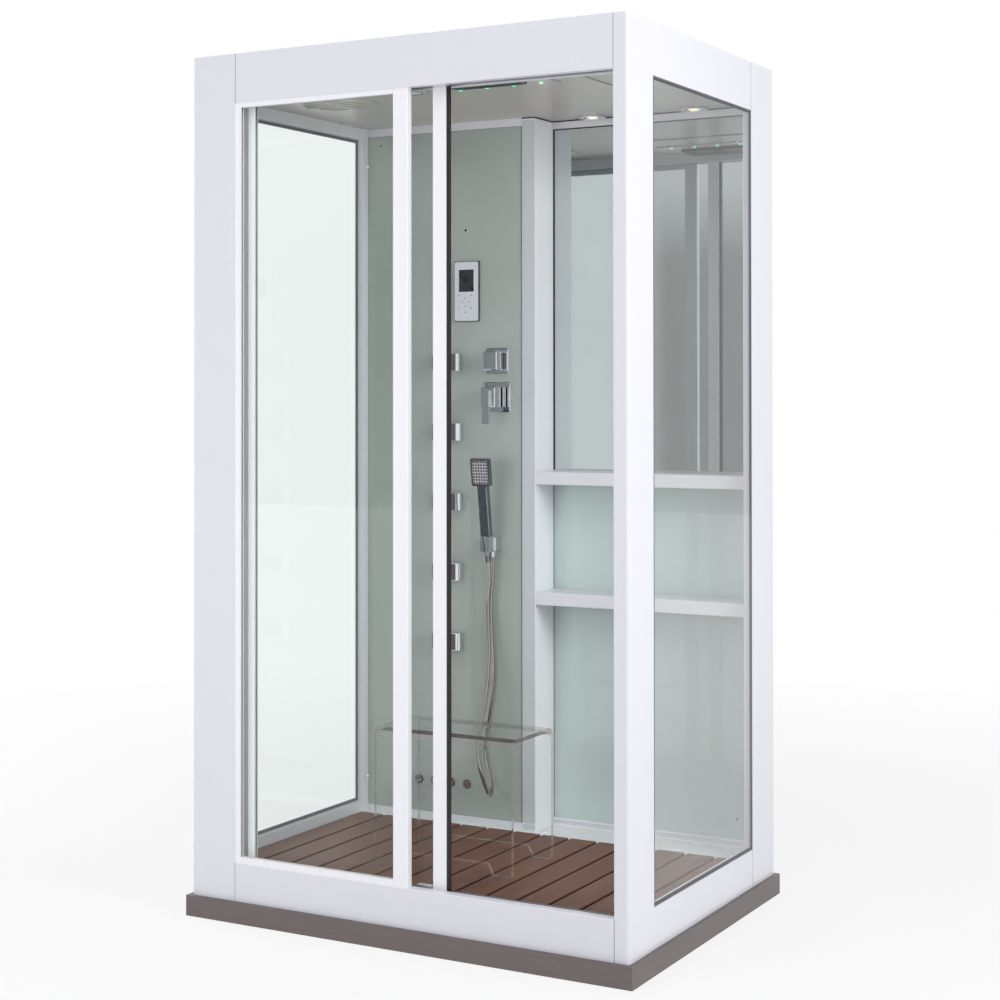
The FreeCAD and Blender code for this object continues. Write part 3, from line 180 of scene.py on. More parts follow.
def makeFinishes():
    grainedFinish("whiteFrame", (232, 232, 237), (229, 229, 235), (235, 235, 240), (0.30, 0.38),
                  900, bump=0.04, height=0.0001, Specular_IOR_Level=0.45, Coat_Weight=0.25,
                  Coat_Roughness=0.12)
    # A paler copy of the frame white: painted light for the door stiles, the fixed pane's profiles
    # and the skirting lips, which look brighter lit.
    grainedFinish("whiteStripLit", (250, 250, 252), (248, 248, 251), (252, 252, 253), (0.32, 0.4),
                  900, bump=0.03, height=0.0001, Coat_Weight=0.2, Coat_Roughness=0.15)
    grainedFinish("brushedSteel", (120, 111, 109), (106, 98, 96), (132, 124, 121), (0.36, 0.46),
                  9, stretch=(1, 1, 160), bump=0.06, detail=4, Metallic=0.7)
    grainedFinish("zincTube", (150, 153, 156), (132, 136, 140), (172, 174, 176), (0.35, 0.55),
                  30, bump=0.1, Metallic=0.85)
    grainedFinish("footRubber", (34, 34, 36), (28, 28, 30), (44, 44, 46), (0.6, 0.8), 400,
                  bump=0.2)
    grainedFinish("trayAcrylic", (238, 239, 240), (233, 234, 236), (242, 243, 244), (0.2, 0.28),
                  12, Coat_Weight=0.5, Coat_Roughness=0.05)
    grainedFinish("drainPlastic", (60, 62, 66), (52, 54, 58), (70, 72, 76), (0.4, 0.55), 120,
                  bump=0.1)
    grainedFinish("chrome", (224, 227, 230), (218, 221, 225), (230, 232, 235), (0.03, 0.07), 60,
                  Metallic=1.0)
    grainedFinish("footCollar", (96, 88, 86), (86, 78, 76), (112, 104, 102), (0.2, 0.35), 300,
                  Metallic=0.6)
    grainedFinish("jetFace", (104, 97, 99), (98, 92, 95), (110, 103, 105), (0.4, 0.55), 300)
    # A greyer copy of the column white: painted shade for the column's front face, which gets less
    # light than its side.
    grainedFinish("columnFrontShade", (208, 212, 217), (205, 209, 214), (211, 215, 220), (0.3, 0.4),
                  400, Coat_Weight=0.2)
    grainedFinish("trackAluminium", (190, 192, 196), (176, 178, 183), (204, 206, 210),
                  (0.25, 0.4), 12, stretch=(1, 60, 60), bump=0.06, Metallic=0.9)
    grainedFinish("roofPlastic", (214, 214, 216), (208, 208, 211), (220, 220, 222), (0.45, 0.6),
                  500, bump=0.08)
    grainedFinish("ceilingPlastic", (198, 190, 184), (194, 186, 180), (202, 195, 189),
                  (0.28, 0.38), 14, Coat_Weight=0.2, Coat_Roughness=0.2)
    glass = newFinish("clearGlass", paint(252, 254, 253), Roughness=0.0, IOR=1.22,
                      Transmission_Weight=1.0)
    passLampLight(glass, paint(250, 252, 251))
    grainedFinish("blackRubber", (34, 28, 32), (26, 21, 25), (44, 37, 40), (0.45, 0.65), 240,
                  bump=0.08)
    grainedFinish("backSheet", (222, 222, 226), (216, 216, 220), (228, 228, 231), (0.4, 0.55),
                  300, bump=0.06)
    grainedFinish("mirrorGlass", (206, 213, 214), (203, 210, 211), (209, 216, 217),
                  (0.01, 0.03), 4, Metallic=1.0)
    sideGlass = newFinish("sideGlass", paint(252, 254, 253), Roughness=0.0, IOR=1.36,
                          Transmission_Weight=1.0)
    passLampLight(sideGlass, paint(250, 252, 251))
    grainedFinish("paintedGlass", (174, 183, 178), (170, 180, 174), (179, 187, 183),
                  (0.30, 0.36), 3, Coat_Weight=1.0, Coat_Roughness=0.03, Coat_IOR=1.45)
    # A paler copy of the painted glass: painted light for the recess panes, which look brighter
    # lit than the tower's.
    grainedFinish("paintedGlassLitCopy", (202, 217, 215), (198, 214, 211), (206, 220, 218),
                  (0.30, 0.36), 3, Coat_Weight=1.0, Coat_Roughness=0.03, Coat_IOR=1.45)
    grainedFinish("shelfPlastic", (232, 232, 238), (229, 229, 236), (235, 235, 240),
                  (0.28, 0.36), 700, bump=0.03, height=0.0001, Coat_Weight=0.3,
                  Coat_Roughness=0.1)
    grainedFinish("padPlastic", (222, 224, 233), (219, 221, 231), (225, 227, 235), (0.3, 0.4),
                  500, Coat_Weight=0.15, Coat_Roughness=0.2)
    grainedFinish("screenGlass", (46, 50, 54), (40, 44, 48), (54, 58, 62), (0.25, 0.35), 40,
                  Coat_Weight=0.3, Coat_Roughness=0.1)
    grainedFinish("fittingChrome", (216, 220, 223), (210, 214, 218), (222, 226, 229),
                  (0.02, 0.05), 60, Metallic=1.0)
    hanger = newFinish("hangerSteel", paint(180, 182, 186), Roughness=0.35)
    tree = hanger.node_tree
    place = addNode(tree, "ShaderNodeTexCoord")
    apart = addNode(tree, "ShaderNodeSeparateXYZ", {0: place.outputs["Object"]})
    upper = spread(tree, apart.outputs["Z"], 0, 1, 0.9, 1.1)  # steel above, nylon shoes below
    grain = mixColour(tree, clouds(tree, 60), paint(168, 170, 175), paint(190, 192, 196))
    tree.links.new(mixColour(tree, upper, paint(226, 226, 230), grain),
                   tree.nodes["Principled BSDF"].inputs["Base Color"])
    tree.links.new(upper, tree.nodes["Principled BSDF"].inputs["Metallic"])
    # A darker copy of the chrome: painted shade, standing for the dark room the hand shower's
    # handle reflects.
    grainedFinish("handleChromeShaded", (132, 139, 143), (126, 133, 137), (139, 146, 150),
                  (0.05, 0.10), 60, Metallic=1.0)
    grainedFinish("sprayPlate", (206, 203, 208), (200, 197, 203), (212, 209, 213), (0.2, 0.3),
                  200, Metallic=0.3)
    # A paler copy of the shelf white: painted light for the tower column, whose side is lit from
    # the right.
    grainedFinish("columnWhiteLit", (246, 247, 252), (243, 244, 250), (249, 250, 253),
                  (0.28, 0.36), 700, bump=0.03, height=0.0001, Coat_Weight=0.3,
                  Coat_Roughness=0.12)
    grainedFinish("nozzlePlastic", (116, 110, 115), (108, 102, 108), (124, 118, 123),
                  (0.35, 0.45), 300, Coat_Weight=0.1)
    grainedFinish("brass", (186, 158, 96), (164, 136, 78), (204, 178, 116), (0.28, 0.45), 60,
                  bump=0.08, Metallic=0.95)
    grainedFinish("pipeCopper", (186, 118, 84), (150, 88, 62), (206, 140, 104), (0.25, 0.45),
                  40, bump=0.05, Metallic=0.95)
    grainedFinish("boilerSteel", (178, 180, 184), (160, 162, 167), (194, 196, 200), (0.3, 0.42),
                  10, stretch=(80, 80, 1), bump=0.08, Metallic=0.85)
    grainedFinish("rainMetal", (58, 58, 62), (50, 50, 54), (68, 68, 72), (0.25, 0.35), 80,
                  Metallic=0.7)
    grainedFinish("lampLens", (250, 242, 224), (246, 236, 214), (255, 248, 232), (0.2, 0.3), 60,
                  Emission_Strength=1.1, Emission_Color=paint(255, 232, 190))
    grainedFinish("greenLamp", (60, 190, 140), (50, 180, 130), (80, 205, 155), (0.2, 0.3), 200,
                  Emission_Strength=1.2, Emission_Color=paint(70, 235, 170))
    grainedFinish("fanPlastic", (206, 203, 198), (200, 197, 192), (212, 209, 205), (0.4, 0.5),
                  400, bump=0.05)
    grainedFinish("wheelNylon", (236, 234, 226), (228, 226, 218), (242, 240, 233), (0.35, 0.45),
                  200, Subsurface_Weight=0.1)
    acrylic = newFinish("clearAcrylic", paint(251, 252, 252), Roughness=0.0, IOR=1.04,
                        Transmission_Weight=1.0, Coat_Weight=0.5, Coat_Roughness=0.02,
                        Coat_IOR=1.3)
    passLampLight(acrylic, paint(249, 250, 251))
    grainedFinish("greyGasket", (104, 107, 112), (96, 99, 104), (112, 115, 120), (0.4, 0.55),
                  240, bump=0.06)
    grainedFinish("seamShadow", (120, 120, 126), (112, 112, 118), (128, 128, 134), (0.6, 0.7),
                  300)
    grainedFinish("darkGap", (44, 44, 47), (38, 38, 41), (52, 52, 55), (0.6, 0.75), 300)
    grainedFinish("keyMark", (150, 150, 160), (142, 142, 152), (158, 158, 168), (0.35, 0.45),
                  900)
    grainedFinish("sprayRubber", (46, 28, 34), (38, 22, 28), (56, 36, 42), (0.45, 0.6), 900)


def makeWood(boards):
    # Boards run front to back. Each has its own tone, with grain along its length; the sides below
    # the top are painted dark, as shade in the gaps between boards.
    wood = newFinish("teak", paint(150, 100, 70), Specular_IOR_Level=0.4)
    tree = wood.node_tree
    shader = tree.nodes["Principled BSDF"]
    place = addNode(tree, "ShaderNodeTexCoord")
    apart = addNode(tree, "ShaderNodeSeparateXYZ", {0: place.outputs["Object"]})
    shifted = addNode(tree, "ShaderNodeMath", {0: apart.outputs["X"], 1: -boards["left"]},
                      operation="ADD")
    counted = addNode(tree, "ShaderNodeMath", {0: shifted.outputs[0], 1: boards["pitch"]},
                      operation="DIVIDE")
    board = addNode(tree, "ShaderNodeMath", {0: counted.outputs[0]}, operation="FLOOR")
    chance = addNode(tree, "ShaderNodeTexWhiteNoise", {"W": board.outputs[0]},
                     noise_dimensions="1D")
    offset = addNode(tree, "ShaderNodeVectorMath",
                     {0: chance.outputs["Color"], 1: (3.0, 3.0, 3.0)}, operation="MULTIPLY")
    moved = addNode(tree, "ShaderNodeVectorMath",
                    {0: place.outputs["Object"], 1: offset.outputs[0]}, operation="ADD")
    grainPlace = addNode(tree, "ShaderNodeMapping",
                         {"Vector": moved.outputs[0], "Scale": boards["grain"]})
    grain = addNode(tree, "ShaderNodeTexNoise",
                    {"Vector": grainPlace.outputs["Vector"], "Scale": 1.0, "Detail": 6.0,
                     "Roughness": 0.62, "Distortion": 0.4})
    fibre = addNode(tree, "ShaderNodeTexNoise",
                    {"Vector": grainPlace.outputs["Vector"], "Scale": 5.0, "Detail": 3.0})
    shade = addNode(tree, "ShaderNodeValToRGB", {"Fac": grain.outputs["Fac"]})
    stops = shade.color_ramp.elements
    stops[0].position, stops[0].color = 0.30, boards["dark"]
    stops[1].position, stops[1].color = 0.72, boards["pale"]
    stops.new(0.52).color = boards["middle"]
    between = mixColour(tree, spread(tree, chance.outputs["Value"], 0.0, 0.45, 0, 1),
                        shade.outputs["Color"], boards["redder"])
    lined = mixColour(tree, spread(tree, fibre.outputs["Fac"], 0.0, 0.25), between,
                      boards["dark"])
    # Below the boards' top the colour turns dark red-brown: painted shade in the gaps between the
    # boards.
    aboveGapShade = spread(tree, apart.outputs["Z"], 0, 1, boards["top"] - 0.0035, boards["top"] - 0.001)
    tree.links.new(mixColour(tree, aboveGapShade, boards["gapShade"], lined), shader.inputs["Base Color"])
    tree.links.new(spread(tree, grain.outputs["Fac"], 0.42, 0.62), shader.inputs["Roughness"])
    raised = addNode(tree, "ShaderNodeBump",
                     {"Height": fibre.outputs["Fac"], "Strength": 0.25, "Distance": 0.0006})
    tree.links.new(raised.outputs["Normal"], shader.inputs["Normal"])


woodBoards = {
    "left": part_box("duckboard_slats")[0].x,
    "top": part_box("duckboard_slats")[1].z,
    # painted shade for the gaps between boards
    "gapShade": paint(52, 32, 28),
    "pitch": 0.081,
    "grain": (60, 3, 60),
    "dark": paint(92, 60, 50),
    "middle": paint(128, 92, 76),
    "pale": paint(150, 114, 96),
    "redder": paint(122, 80, 66),
}
makeFinishes()
makeWood(woodBoards)

finishOfSlot = {
    "plinth_steel": "brushedSteel", "zinc_frame": "zincTube", "foot_rubber": "footRubber",
    "tray_acrylic": "trayAcrylic", "drain_plastic": "drainPlastic", "chrome": "chrome",
    "white_frame": "whiteFrame", "track_aluminium": "trackAluminium",
    "roof_plastic": "roofPlastic", "ceiling_plastic": "ceilingPlastic",
    "clear_glass": "clearGlass", "black_rubber": "blackRubber", "back_sheet": "backSheet",
    "mirror_glass": "mirrorGlass", "painted_glass": "paintedGlass",
    "shelf_plastic": "shelfPlastic", "pad_plastic": "padPlastic",
    "screen_glass": "screenGlass", "nozzle_plastic": "nozzlePlastic", "brass": "brass",
    "pipe_copper": "pipeCopper", "boiler_steel": "boilerSteel", "rain_metal": "rainMetal",
    "lamp_lens": "lampLens", "fan_plastic": "fanPlastic", "wheel_nylon": "wheelNylon",
    "wood": "teak", "clear_acrylic": "clearAcrylic",
}
for part in frame["record"]["subparts"]:
    for materialSlot in nodes[part["node"]].material_slots:
        materialSlot.material = finishes[finishOfSlot[part["material_slot"]]]
# The recess panes get the paler copy: painted light.
nodes["recess_glass"].material_slots[0].material = finishes["paintedGlassLitCopy"]
nodes["rubber_seals"].material_slots[0].material = finishes["greyGasket"]
nodes["side_glass"].material_slots[0].material = finishes["sideGlass"]
# The handle gets the darker chrome: painted shade in its reflection.
nodes["handset_body"].material_slots[0].material = finishes["handleChromeShaded"]
nodes["door_hangers"].material_slots[0].material = finishes["hangerSteel"]
for fittingNode in ("valve_plates", "mixer_collar", "mixer_lever", "diverter_knob",
                    "wall_outlet"):
    nodes[fittingNode].material_slots[0].material = finishes["fittingChrome"]
nodes["spray_plate"].material_slots[0].material = finishes["sprayPlate"]
# The column gets the paler copy: painted light.
nodes["tower_column"].material_slots[0].material = finishes["columnWhiteLit"]
# These white profiles get the paler copy of the frame white: painted light.
for whiteNode in ("fixed_glass_profiles", "door_lead_stile", "door_trail_stile"):
    nodes[whiteNode].material_slots[0].material = finishes["whiteStripLit"]
print("finishes:", len(finishes))


# ---- making pieces ----
def makePiece(name, bm, finish, body="cabin", rounding=0.0, smooth=False):
    mesh = bpy.data.meshes.new(name)
    bmesh.ops.recalc_face_normals(bm, faces=bm.faces[:])
    bm.to_mesh(mesh)
    bm.free()
    return placePiece(name, mesh, finish, body, rounding, smooth)


def placePiece(name, mesh, finish, body="cabin", rounding=0.0, smooth=False):
    piece = bpy.data.objects.new(name, mesh)
    bpy.context.collection.objects.link(piece)
    mesh.materials.clear()
    mesh.materials.append(finishes[finish])
    mesh.polygons.foreach_set("use_smooth", [smooth] * len(mesh.polygons))
    if rounding:
        edge = piece.modifiers.new("softEdge", "BEVEL")
        edge.width = rounding
        edge.segments = 2
        edge.limit_method = "ANGLE"
        edge.harden_normals = True
        mesh.polygons.foreach_set("use_smooth", [True] * len(mesh.polygons))
    if body:
        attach(piece, body)
    return piece


def addBlock(bm, lowest, highest):
    size = Vector(highest) - Vector(lowest)
    centre = (Vector(highest) + Vector(lowest)) / 2
    bmesh.ops.create_cube(bm, size=1, matrix=Matrix.Translation(centre)
                          @ Matrix.Diagonal((*size, 1)))


# ---- shower hose: the first piece that is made ----
hose = {
    "diameter": 0.011,
    "length": 1.34,
    "ribStep": 0.0030,
    "ribDepth": 0.035,
    "sides": 14,
    # From the hand shower's nut down, round the lowest bend and up to the wall outlet's nut.
    "route": [
        (-0.155, 0.27272, 0.82417), (-0.155, 0.27992, 0.773), (-0.163, 0.281, 0.720),
        (-0.158, 0.276, 0.660), (-0.147, 0.264, 0.590), (-0.140, 0.243, 0.520),
        (-0.137, 0.217, 0.450), (-0.141, 0.191, 0.385), (-0.135, 0.177, 0.322),
        (-0.120, 0.183, 0.264), (-0.120, 0.210, 0.223), (-0.136, 0.252, 0.207),
        (-0.1535, 0.292, 0.223), (-0.177, 0.306, 0.264), (-0.187, 0.304, 0.316),
        (-0.179, 0.304, 0.372), (-0.1685, 0.304, 0.438), (-0.158, 0.304, 0.512),
        (-0.160, 0.303, 0.590), (-0.1645, 0.302, 0.666), (-0.163, 0.299, 0.732),
        (-0.155, 0.298, 0.786), (-0.155, 0.298, 0.8365)],
}


def smoothLine(name, route):
    curve = bpy.data.curves.new(name, "CURVE")
    curve.dimensions = "3D"
    curve.resolution_u = 24
    spline = curve.splines.new("NURBS")
    spline.points.add(len(route) - 1)
    for point, place in zip(spline.points, route):
        point.co = (*place, 1)
    spline.order_u = 3
    spline.use_endpoint_u = True
    holder = bpy.data.objects.new(name, curve)
    bpy.context.collection.objects.link(holder)
    bpy.context.view_layer.update()
    mesh = bpy.data.meshes.new_from_object(holder.evaluated_get(
        bpy.context.evaluated_depsgraph_get()))
    bpy.data.objects.remove(holder)
    return mesh


def newTree(name, sizes):
    # A Geometry Nodes tree with one geometry in and out and a named input for each size.
    tree = bpy.data.node_groups.new(name, "GeometryNodeTree")
    tree.interface.new_socket("Geometry", in_out="OUTPUT", socket_type="NodeSocketGeometry")
    tree.interface.new_socket("Geometry", in_out="INPUT", socket_type="NodeSocketGeometry")
    for size, kind in sizes.items():
        tree.interface.new_socket(size, in_out="INPUT", socket_type="NodeSocket" + kind)
    return tree, addNode(tree, "NodeGroupInput"), addNode(tree, "NodeGroupOutput")


def runTree(name, mesh, tree, sizes):
    # The tree's result as a plain mesh.
    holder = bpy.data.objects.new(name, mesh)
    bpy.context.collection.objects.link(holder)
    modifier = holder.modifiers.new(name, "NODES")
    modifier.node_group = tree
    for socket in tree.interface.items_tree:
        if socket.item_type == "SOCKET" and socket.in_out == "INPUT" and socket.name in sizes:
            modifier[socket.identifier] = sizes[socket.name]
    bpy.context.view_layer.update()
    made = bpy.data.meshes.new_from_object(holder.evaluated_get(
        bpy.context.evaluated_depsgraph_get()))
    holder.modifiers.remove(modifier)
    bpy.data.objects.remove(holder)
    return made


def hoseTree():
    # Every second ring is drawn in a little, which gives the strip-wound ribs.
    tree, given, result = newTree("stripWoundHose", {
        "Rib Step": "Float", "Rib Depth": "Float", "Radius": "Float", "Sides": "Int",
        "Finish": "Material"})
    half = addNode(tree, "ShaderNodeMath", {0: given.outputs["Rib Step"], 1: 0.5},
                   operation="MULTIPLY")
    line = addNode(tree, "GeometryNodeMeshToCurve", {"Mesh": given.outputs["Geometry"]})
    rings = addNode(tree, "GeometryNodeResampleCurve",
                    {"Curve": line.outputs["Curve"], "Length": half.outputs[0]}, mode="LENGTH")
    index = addNode(tree, "GeometryNodeInputIndex")
    odd = addNode(tree, "ShaderNodeMath", {0: index.outputs[0], 1: 2.0}, operation="MODULO")
    drawn = addNode(tree, "ShaderNodeMath",
                    {0: odd.outputs[0], 1: given.outputs["Rib Depth"]}, operation="MULTIPLY")
    share = addNode(tree, "ShaderNodeMath", {0: 1.0, 1: drawn.outputs[0]},
                    operation="SUBTRACT")
    radius = addNode(tree, "ShaderNodeMath",
                     {0: share.outputs[0], 1: given.outputs["Radius"]}, operation="MULTIPLY")
    sized = addNode(tree, "GeometryNodeSetCurveRadius",
                    {"Curve": rings.outputs["Curve"], "Radius": radius.outputs[0]})
    ring = addNode(tree, "GeometryNodeCurvePrimitiveCircle",
                   {"Resolution": given.outputs["Sides"], "Radius": 1.0})
    tube = addNode(tree, "GeometryNodeCurveToMesh",
                   {"Curve": sized.outputs["Curve"], "Profile Curve": ring.outputs["Curve"],
                    "Fill Caps": True})
    if "Scale" in tube.inputs:  # newer releases no longer read the curve's radius
        size = addNode(tree, "GeometryNodeInputRadius")
        tree.links.new(size.outputs[0], tube.inputs["Scale"])
    plain = addNode(tree, "GeometryNodeRealizeInstances", {"Geometry": tube.outputs["Mesh"]})
    coated = addNode(tree, "GeometryNodeSetMaterial",
                     {"Geometry": plain.outputs["Geometry"],
                      "Material": given.outputs["Finish"]})
    tree.links.new(coated.outputs["Geometry"], result.inputs["Geometry"])
    return tree


def makeHose(look):
    line = smoothLine("hoseLine", look["route"])
    finish = grainedFinish("hoseSteel", (162, 154, 148), (150, 143, 137), (186, 180, 174),
                           (0.06, 0.12), 500, Metallic=1.0)
    mesh = runTree("hoseRibs", line, hoseTree(), {
        "Rib Step": look["ribStep"], "Rib Depth": look["ribDepth"],
        "Radius": look["diameter"] / 2, "Sides": look["sides"], "Finish": finish})
    piece = placePiece("hose_ribbed", mesh, "hoseSteel", None, smooth=True)
    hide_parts("shower_hose")
    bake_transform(piece)


makeHose(hose)
print("hose made")


# ---- small repeated pieces ----
def studTree():
    # A grid of small tapered studs: nozzles, screw heads, lamps and caps.
    tree, given, result = newTree("studGrid", {
        "Columns": "Int", "Rows": "Int", "Column Step": "Float", "Row Step": "Float",
        "Base Radius": "Float", "Tip Radius": "Float", "Height": "Float", "Sides": "Int",
        "Finish": "Material"})
    rowStep = addNode(tree, "ShaderNodeCombineXYZ", {"Y": given.outputs["Row Step"]})
    columnStep = addNode(tree, "ShaderNodeCombineXYZ", {"X": given.outputs["Column Step"]})
    column = addNode(tree, "GeometryNodeMeshLine",
                     {"Count": given.outputs["Rows"], "Offset": rowStep.outputs[0]})
    row = addNode(tree, "GeometryNodeMeshLine",
                  {"Count": given.outputs["Columns"], "Offset": columnStep.outputs[0]})
    field = addNode(tree, "GeometryNodeInstanceOnPoints",
                    {"Points": column.outputs["Mesh"], "Instance": row.outputs["Mesh"]})
    places = addNode(tree, "GeometryNodeRealizeInstances",
                     {"Geometry": field.outputs["Instances"]})
    stud = addNode(tree, "GeometryNodeMeshCone",
                   {"Vertices": given.outputs["Sides"], "Radius Top": given.outputs["Tip Radius"],
                    "Radius Bottom": given.outputs["Base Radius"],
                    "Depth": given.outputs["Height"]})
    studs = addNode(tree, "GeometryNodeInstanceOnPoints",
                    {"Points": places.outputs["Geometry"], "Instance": stud.outputs["Mesh"]})
    plain = addNode(tree, "GeometryNodeRealizeInstances",
                    {"Geometry": studs.outputs["Instances"]})
    coated = addNode(tree, "GeometryNodeSetMaterial",
                     {"Geometry": plain.outputs["Geometry"],
                      "Material": given.outputs["Finish"]})
    tree.links.new(coated.outputs["Geometry"], result.inputs["Geometry"])
    return tree


studGrid = studTree()


def turnedTo(middle, outward, along):
    # Local X runs along the rows, local Z points out of the face.
    up = Vector(outward).normalized()
    right = (Vector(along) - up * Vector(along).dot(up)).normalized()
    turn = Matrix((right, up.cross(right), up)).transposed().to_4x4()
    return Matrix.Translation(middle) @ turn


def makeStuds(name, look, finish, middle, outward, along, body="cabin"):
    # look holds the columns, rows, their steps, base and tip radius, height and sides.
    empty = bpy.data.meshes.new(name + "Seed")
    mesh = runTree(name + "Maker", empty, studGrid, {**look, "Finish": finishes[finish]})
    back = Vector(((look["Columns"] - 1) * look["Column Step"] / 2,
                   (look["Rows"] - 1) * look["Row Step"] / 2, 0))
    mesh.transform(turnedTo(middle, outward, along) @ Matrix.Translation(-back))
    return placePiece(name, mesh, finish, body, smooth=False)


def makeBars(name, bars, finish, body="cabin", rounding=0.0):
    # Straight strips given by their lowest and highest corners, in millimetres.
    bm = bmesh.new()
    for lowest, highest in bars:
        addBlock(bm, Vector(lowest) / 1000, Vector(highest) / 1000)
    return makePiece(name, bm, finish, body, rounding)


def faceOf(node, way):
    # Middle of the flat face of a node that looks one way, and the way it looks.
    total, middle, normal = 0.0, Vector(), Vector()
    for polygon in nodes[node].data.polygons:
        if polygon.normal.dot(Vector(way)) > 0.95:
            total += polygon.area
            middle += polygon.center * polygon.area
            normal += polygon.normal * polygon.area
    return middle / total, normal.normalized()


# ---- frame: seams, joints, trims and painted shade ----
frameLines = {
    # millimetres
    "seamWidth": 1.2,
    "proud": 0.12,
    "sunk": 1.0,
    "frontFace": 433.0,
    "sideFace": 588.0,
    "railHeights": ((50.5, 143.0), (1980.0, 2099.5)),
    "leftJoint": -461.0,
    "rightJoint": 552.0,
    "sideJoint": 288.0,
    "sideFrontJoint": -304.0,
}


def makeFrameLines(look):
    half, proud, sunk = look["seamWidth"] / 2, look["proud"], look["sunk"]
    front, flank = look["frontFace"], look["sideFace"]
    bars = []
    for x in (look["leftJoint"], look["rightJoint"]):
        for low, high in look["railHeights"]:
            bars.append(((x - half, -front - proud, low), (x + half, sunk - front, high)))
    for side in (-1, 1):
        joints = [look["sideJoint"]] + ([look["sideFrontJoint"]] if side < 0 else [])
        for y in joints:
            for low, high in look["railHeights"]:
                ends = sorted((side * (flank - sunk), side * (flank + proud)))
                bars.append(((ends[0], y - half, low), (ends[1], y + half, high)))
    makeBars("frame_seams", bars, "seamShadow")
    # Dark strips between the ceiling and the white parts under it: painted shadow in the gap
    # there.
    makeBars("ceiling_gap_shadow", [
        ((-76.0, 312.6, 2008.2), (-34.0, 314.6, 2010.9)),
        ((-35.6, 313.0, 2008.2), (-33.4, 413.0, 2010.9)),
        ((-35.0, 411.4, 2008.2), (561.0, 413.6, 2010.9)),
    ], "darkGap")
    makeBars("mirror_edges", [
        ((-35.4, 418.8, 1068.0), (-31.6, 421.4, 1989.0)),
        ((-33.0, 418.8, 1987.6), (560.5, 421.4, 1990.4)),
    ], "darkGap")
    makeBars("recess_glass_beads", [
        ((-35.4, 419.4, 748.0), (-33.6, 421.4, 1031.0)),
        ((-35.4, 419.4, 131.0), (-33.6, 421.4, 711.0)),
    ], "seamShadow")
    makeBars("tower_glass_beads", [
        ((-76.6, 312.8, 131.0), (-74.6, 314.6, 1989.0)),
        ((-561.0, 312.8, 1989.2), (-75.0, 314.6, 1990.4)),
    ], "seamShadow")
    # Thin plates on the column's front in the greyer copy: painted shade on the face that gets
    # less light.
    makeBars("column_front_shade", [
        ((-73.6, 313.3, 131.0), (-36.2, 314.4, 2004.0)),
        ((-73.6, 313.3, 113.5), (-36.2, 314.4, 129.0)),
    ], "columnFrontShade", rounding=0.0005)
    # The skirting's lips in the paler copy of the frame white: painted light.
    makeBars("skirting_lips", [
        ((-34.0, 408.2, 127.6), (560.0, 409.6, 130.4)),
        ((-34.0, 408.2, 111.6), (560.0, 409.6, 113.4)),
    ], "whiteStripLit", rounding=0.0006)


makeFrameLines(frameLines)


# ---- jets, hand shower and rain head ----
jetLook = {"Columns": 5, "Rows": 2, "Column Step": 0.0135, "Row Step": 0.012,
           "Base Radius": 0.0016, "Tip Radius": 0.0010, "Height": 0.0006, "Sides": 10}
sprayLook = {"Columns": 6, "Rows": 8, "Column Step": 0.0078, "Row Step": 0.0080,
             "Base Radius": 0.0027, "Tip Radius": 0.0019, "Height": 0.0014, "Sides": 10}
rainLook = {"Columns": 12, "Rows": 6, "Column Step": 0.0145, "Row Step": 0.015,
            "Base Radius": 0.0018, "Tip Radius": 0.0010, "Height": 0.0018, "Sides": 8}
colourLampLook = {"Columns": 4, "Rows": 1, "Column Step": 0.073, "Row Step": 0.01,
                  "Base Radius": 0.0056, "Tip Radius": 0.0030, "Height": 0.0022,
                  "Sides": 14}


def makeJets(look):
    # Chrome housings with rounded shoulders and a matt face.
    low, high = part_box("body_jets")
    high.x += look["reach"]
    tall = look["height"]
    pitch = (high.z - low.z - tall) / 4
    bm = bmesh.new()
    outline = ([(low.x + 0.002, low.y + look["depth"])]
               + [(low.x + aside, low.y + deep) for aside, deep in look["shoulder"]]
               + [(high.x - aside, low.y + deep) for aside, deep in reversed(look["shoulder"])]
               + [(high.x - 0.002, low.y + look["depth"])])
    for jet in range(5):
        foot = low.z + jet * pitch
        lower = [bm.verts.new((x, y, foot)) for x, y in outline]
        upper = [bm.verts.new((x, y, foot + tall)) for x, y in outline]
        bm.faces.new(lower)
        bm.faces.new(list(reversed(upper)))
        for step in range(len(outline)):
            after = (step + 1) % len(outline)
            bm.faces.new((lower[after], lower[step], upper[step], upper[after]))
    bmesh.ops.recalc_face_normals(bm, faces=bm.faces[:])
    piece = makePiece("jet_housings", bm, "chrome", smooth=True)
    piece.data.set_sharp_from_angle(angle=math.radians(40))
    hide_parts("body_jets")
    aside, above = look["faceInset"]
    proud, sunk = look["faceProud"]
    makeBars("jet_faces", [
        ((low.x * 1000 + aside, low.y * 1000 - proud, (low.z + jet * pitch) * 1000 + above),
         (high.x * 1000 - aside, low.y * 1000 + sunk,
          (low.z + jet * pitch + tall) * 1000 - above))
        for jet in range(5)], "jetFace", rounding=0.0004)


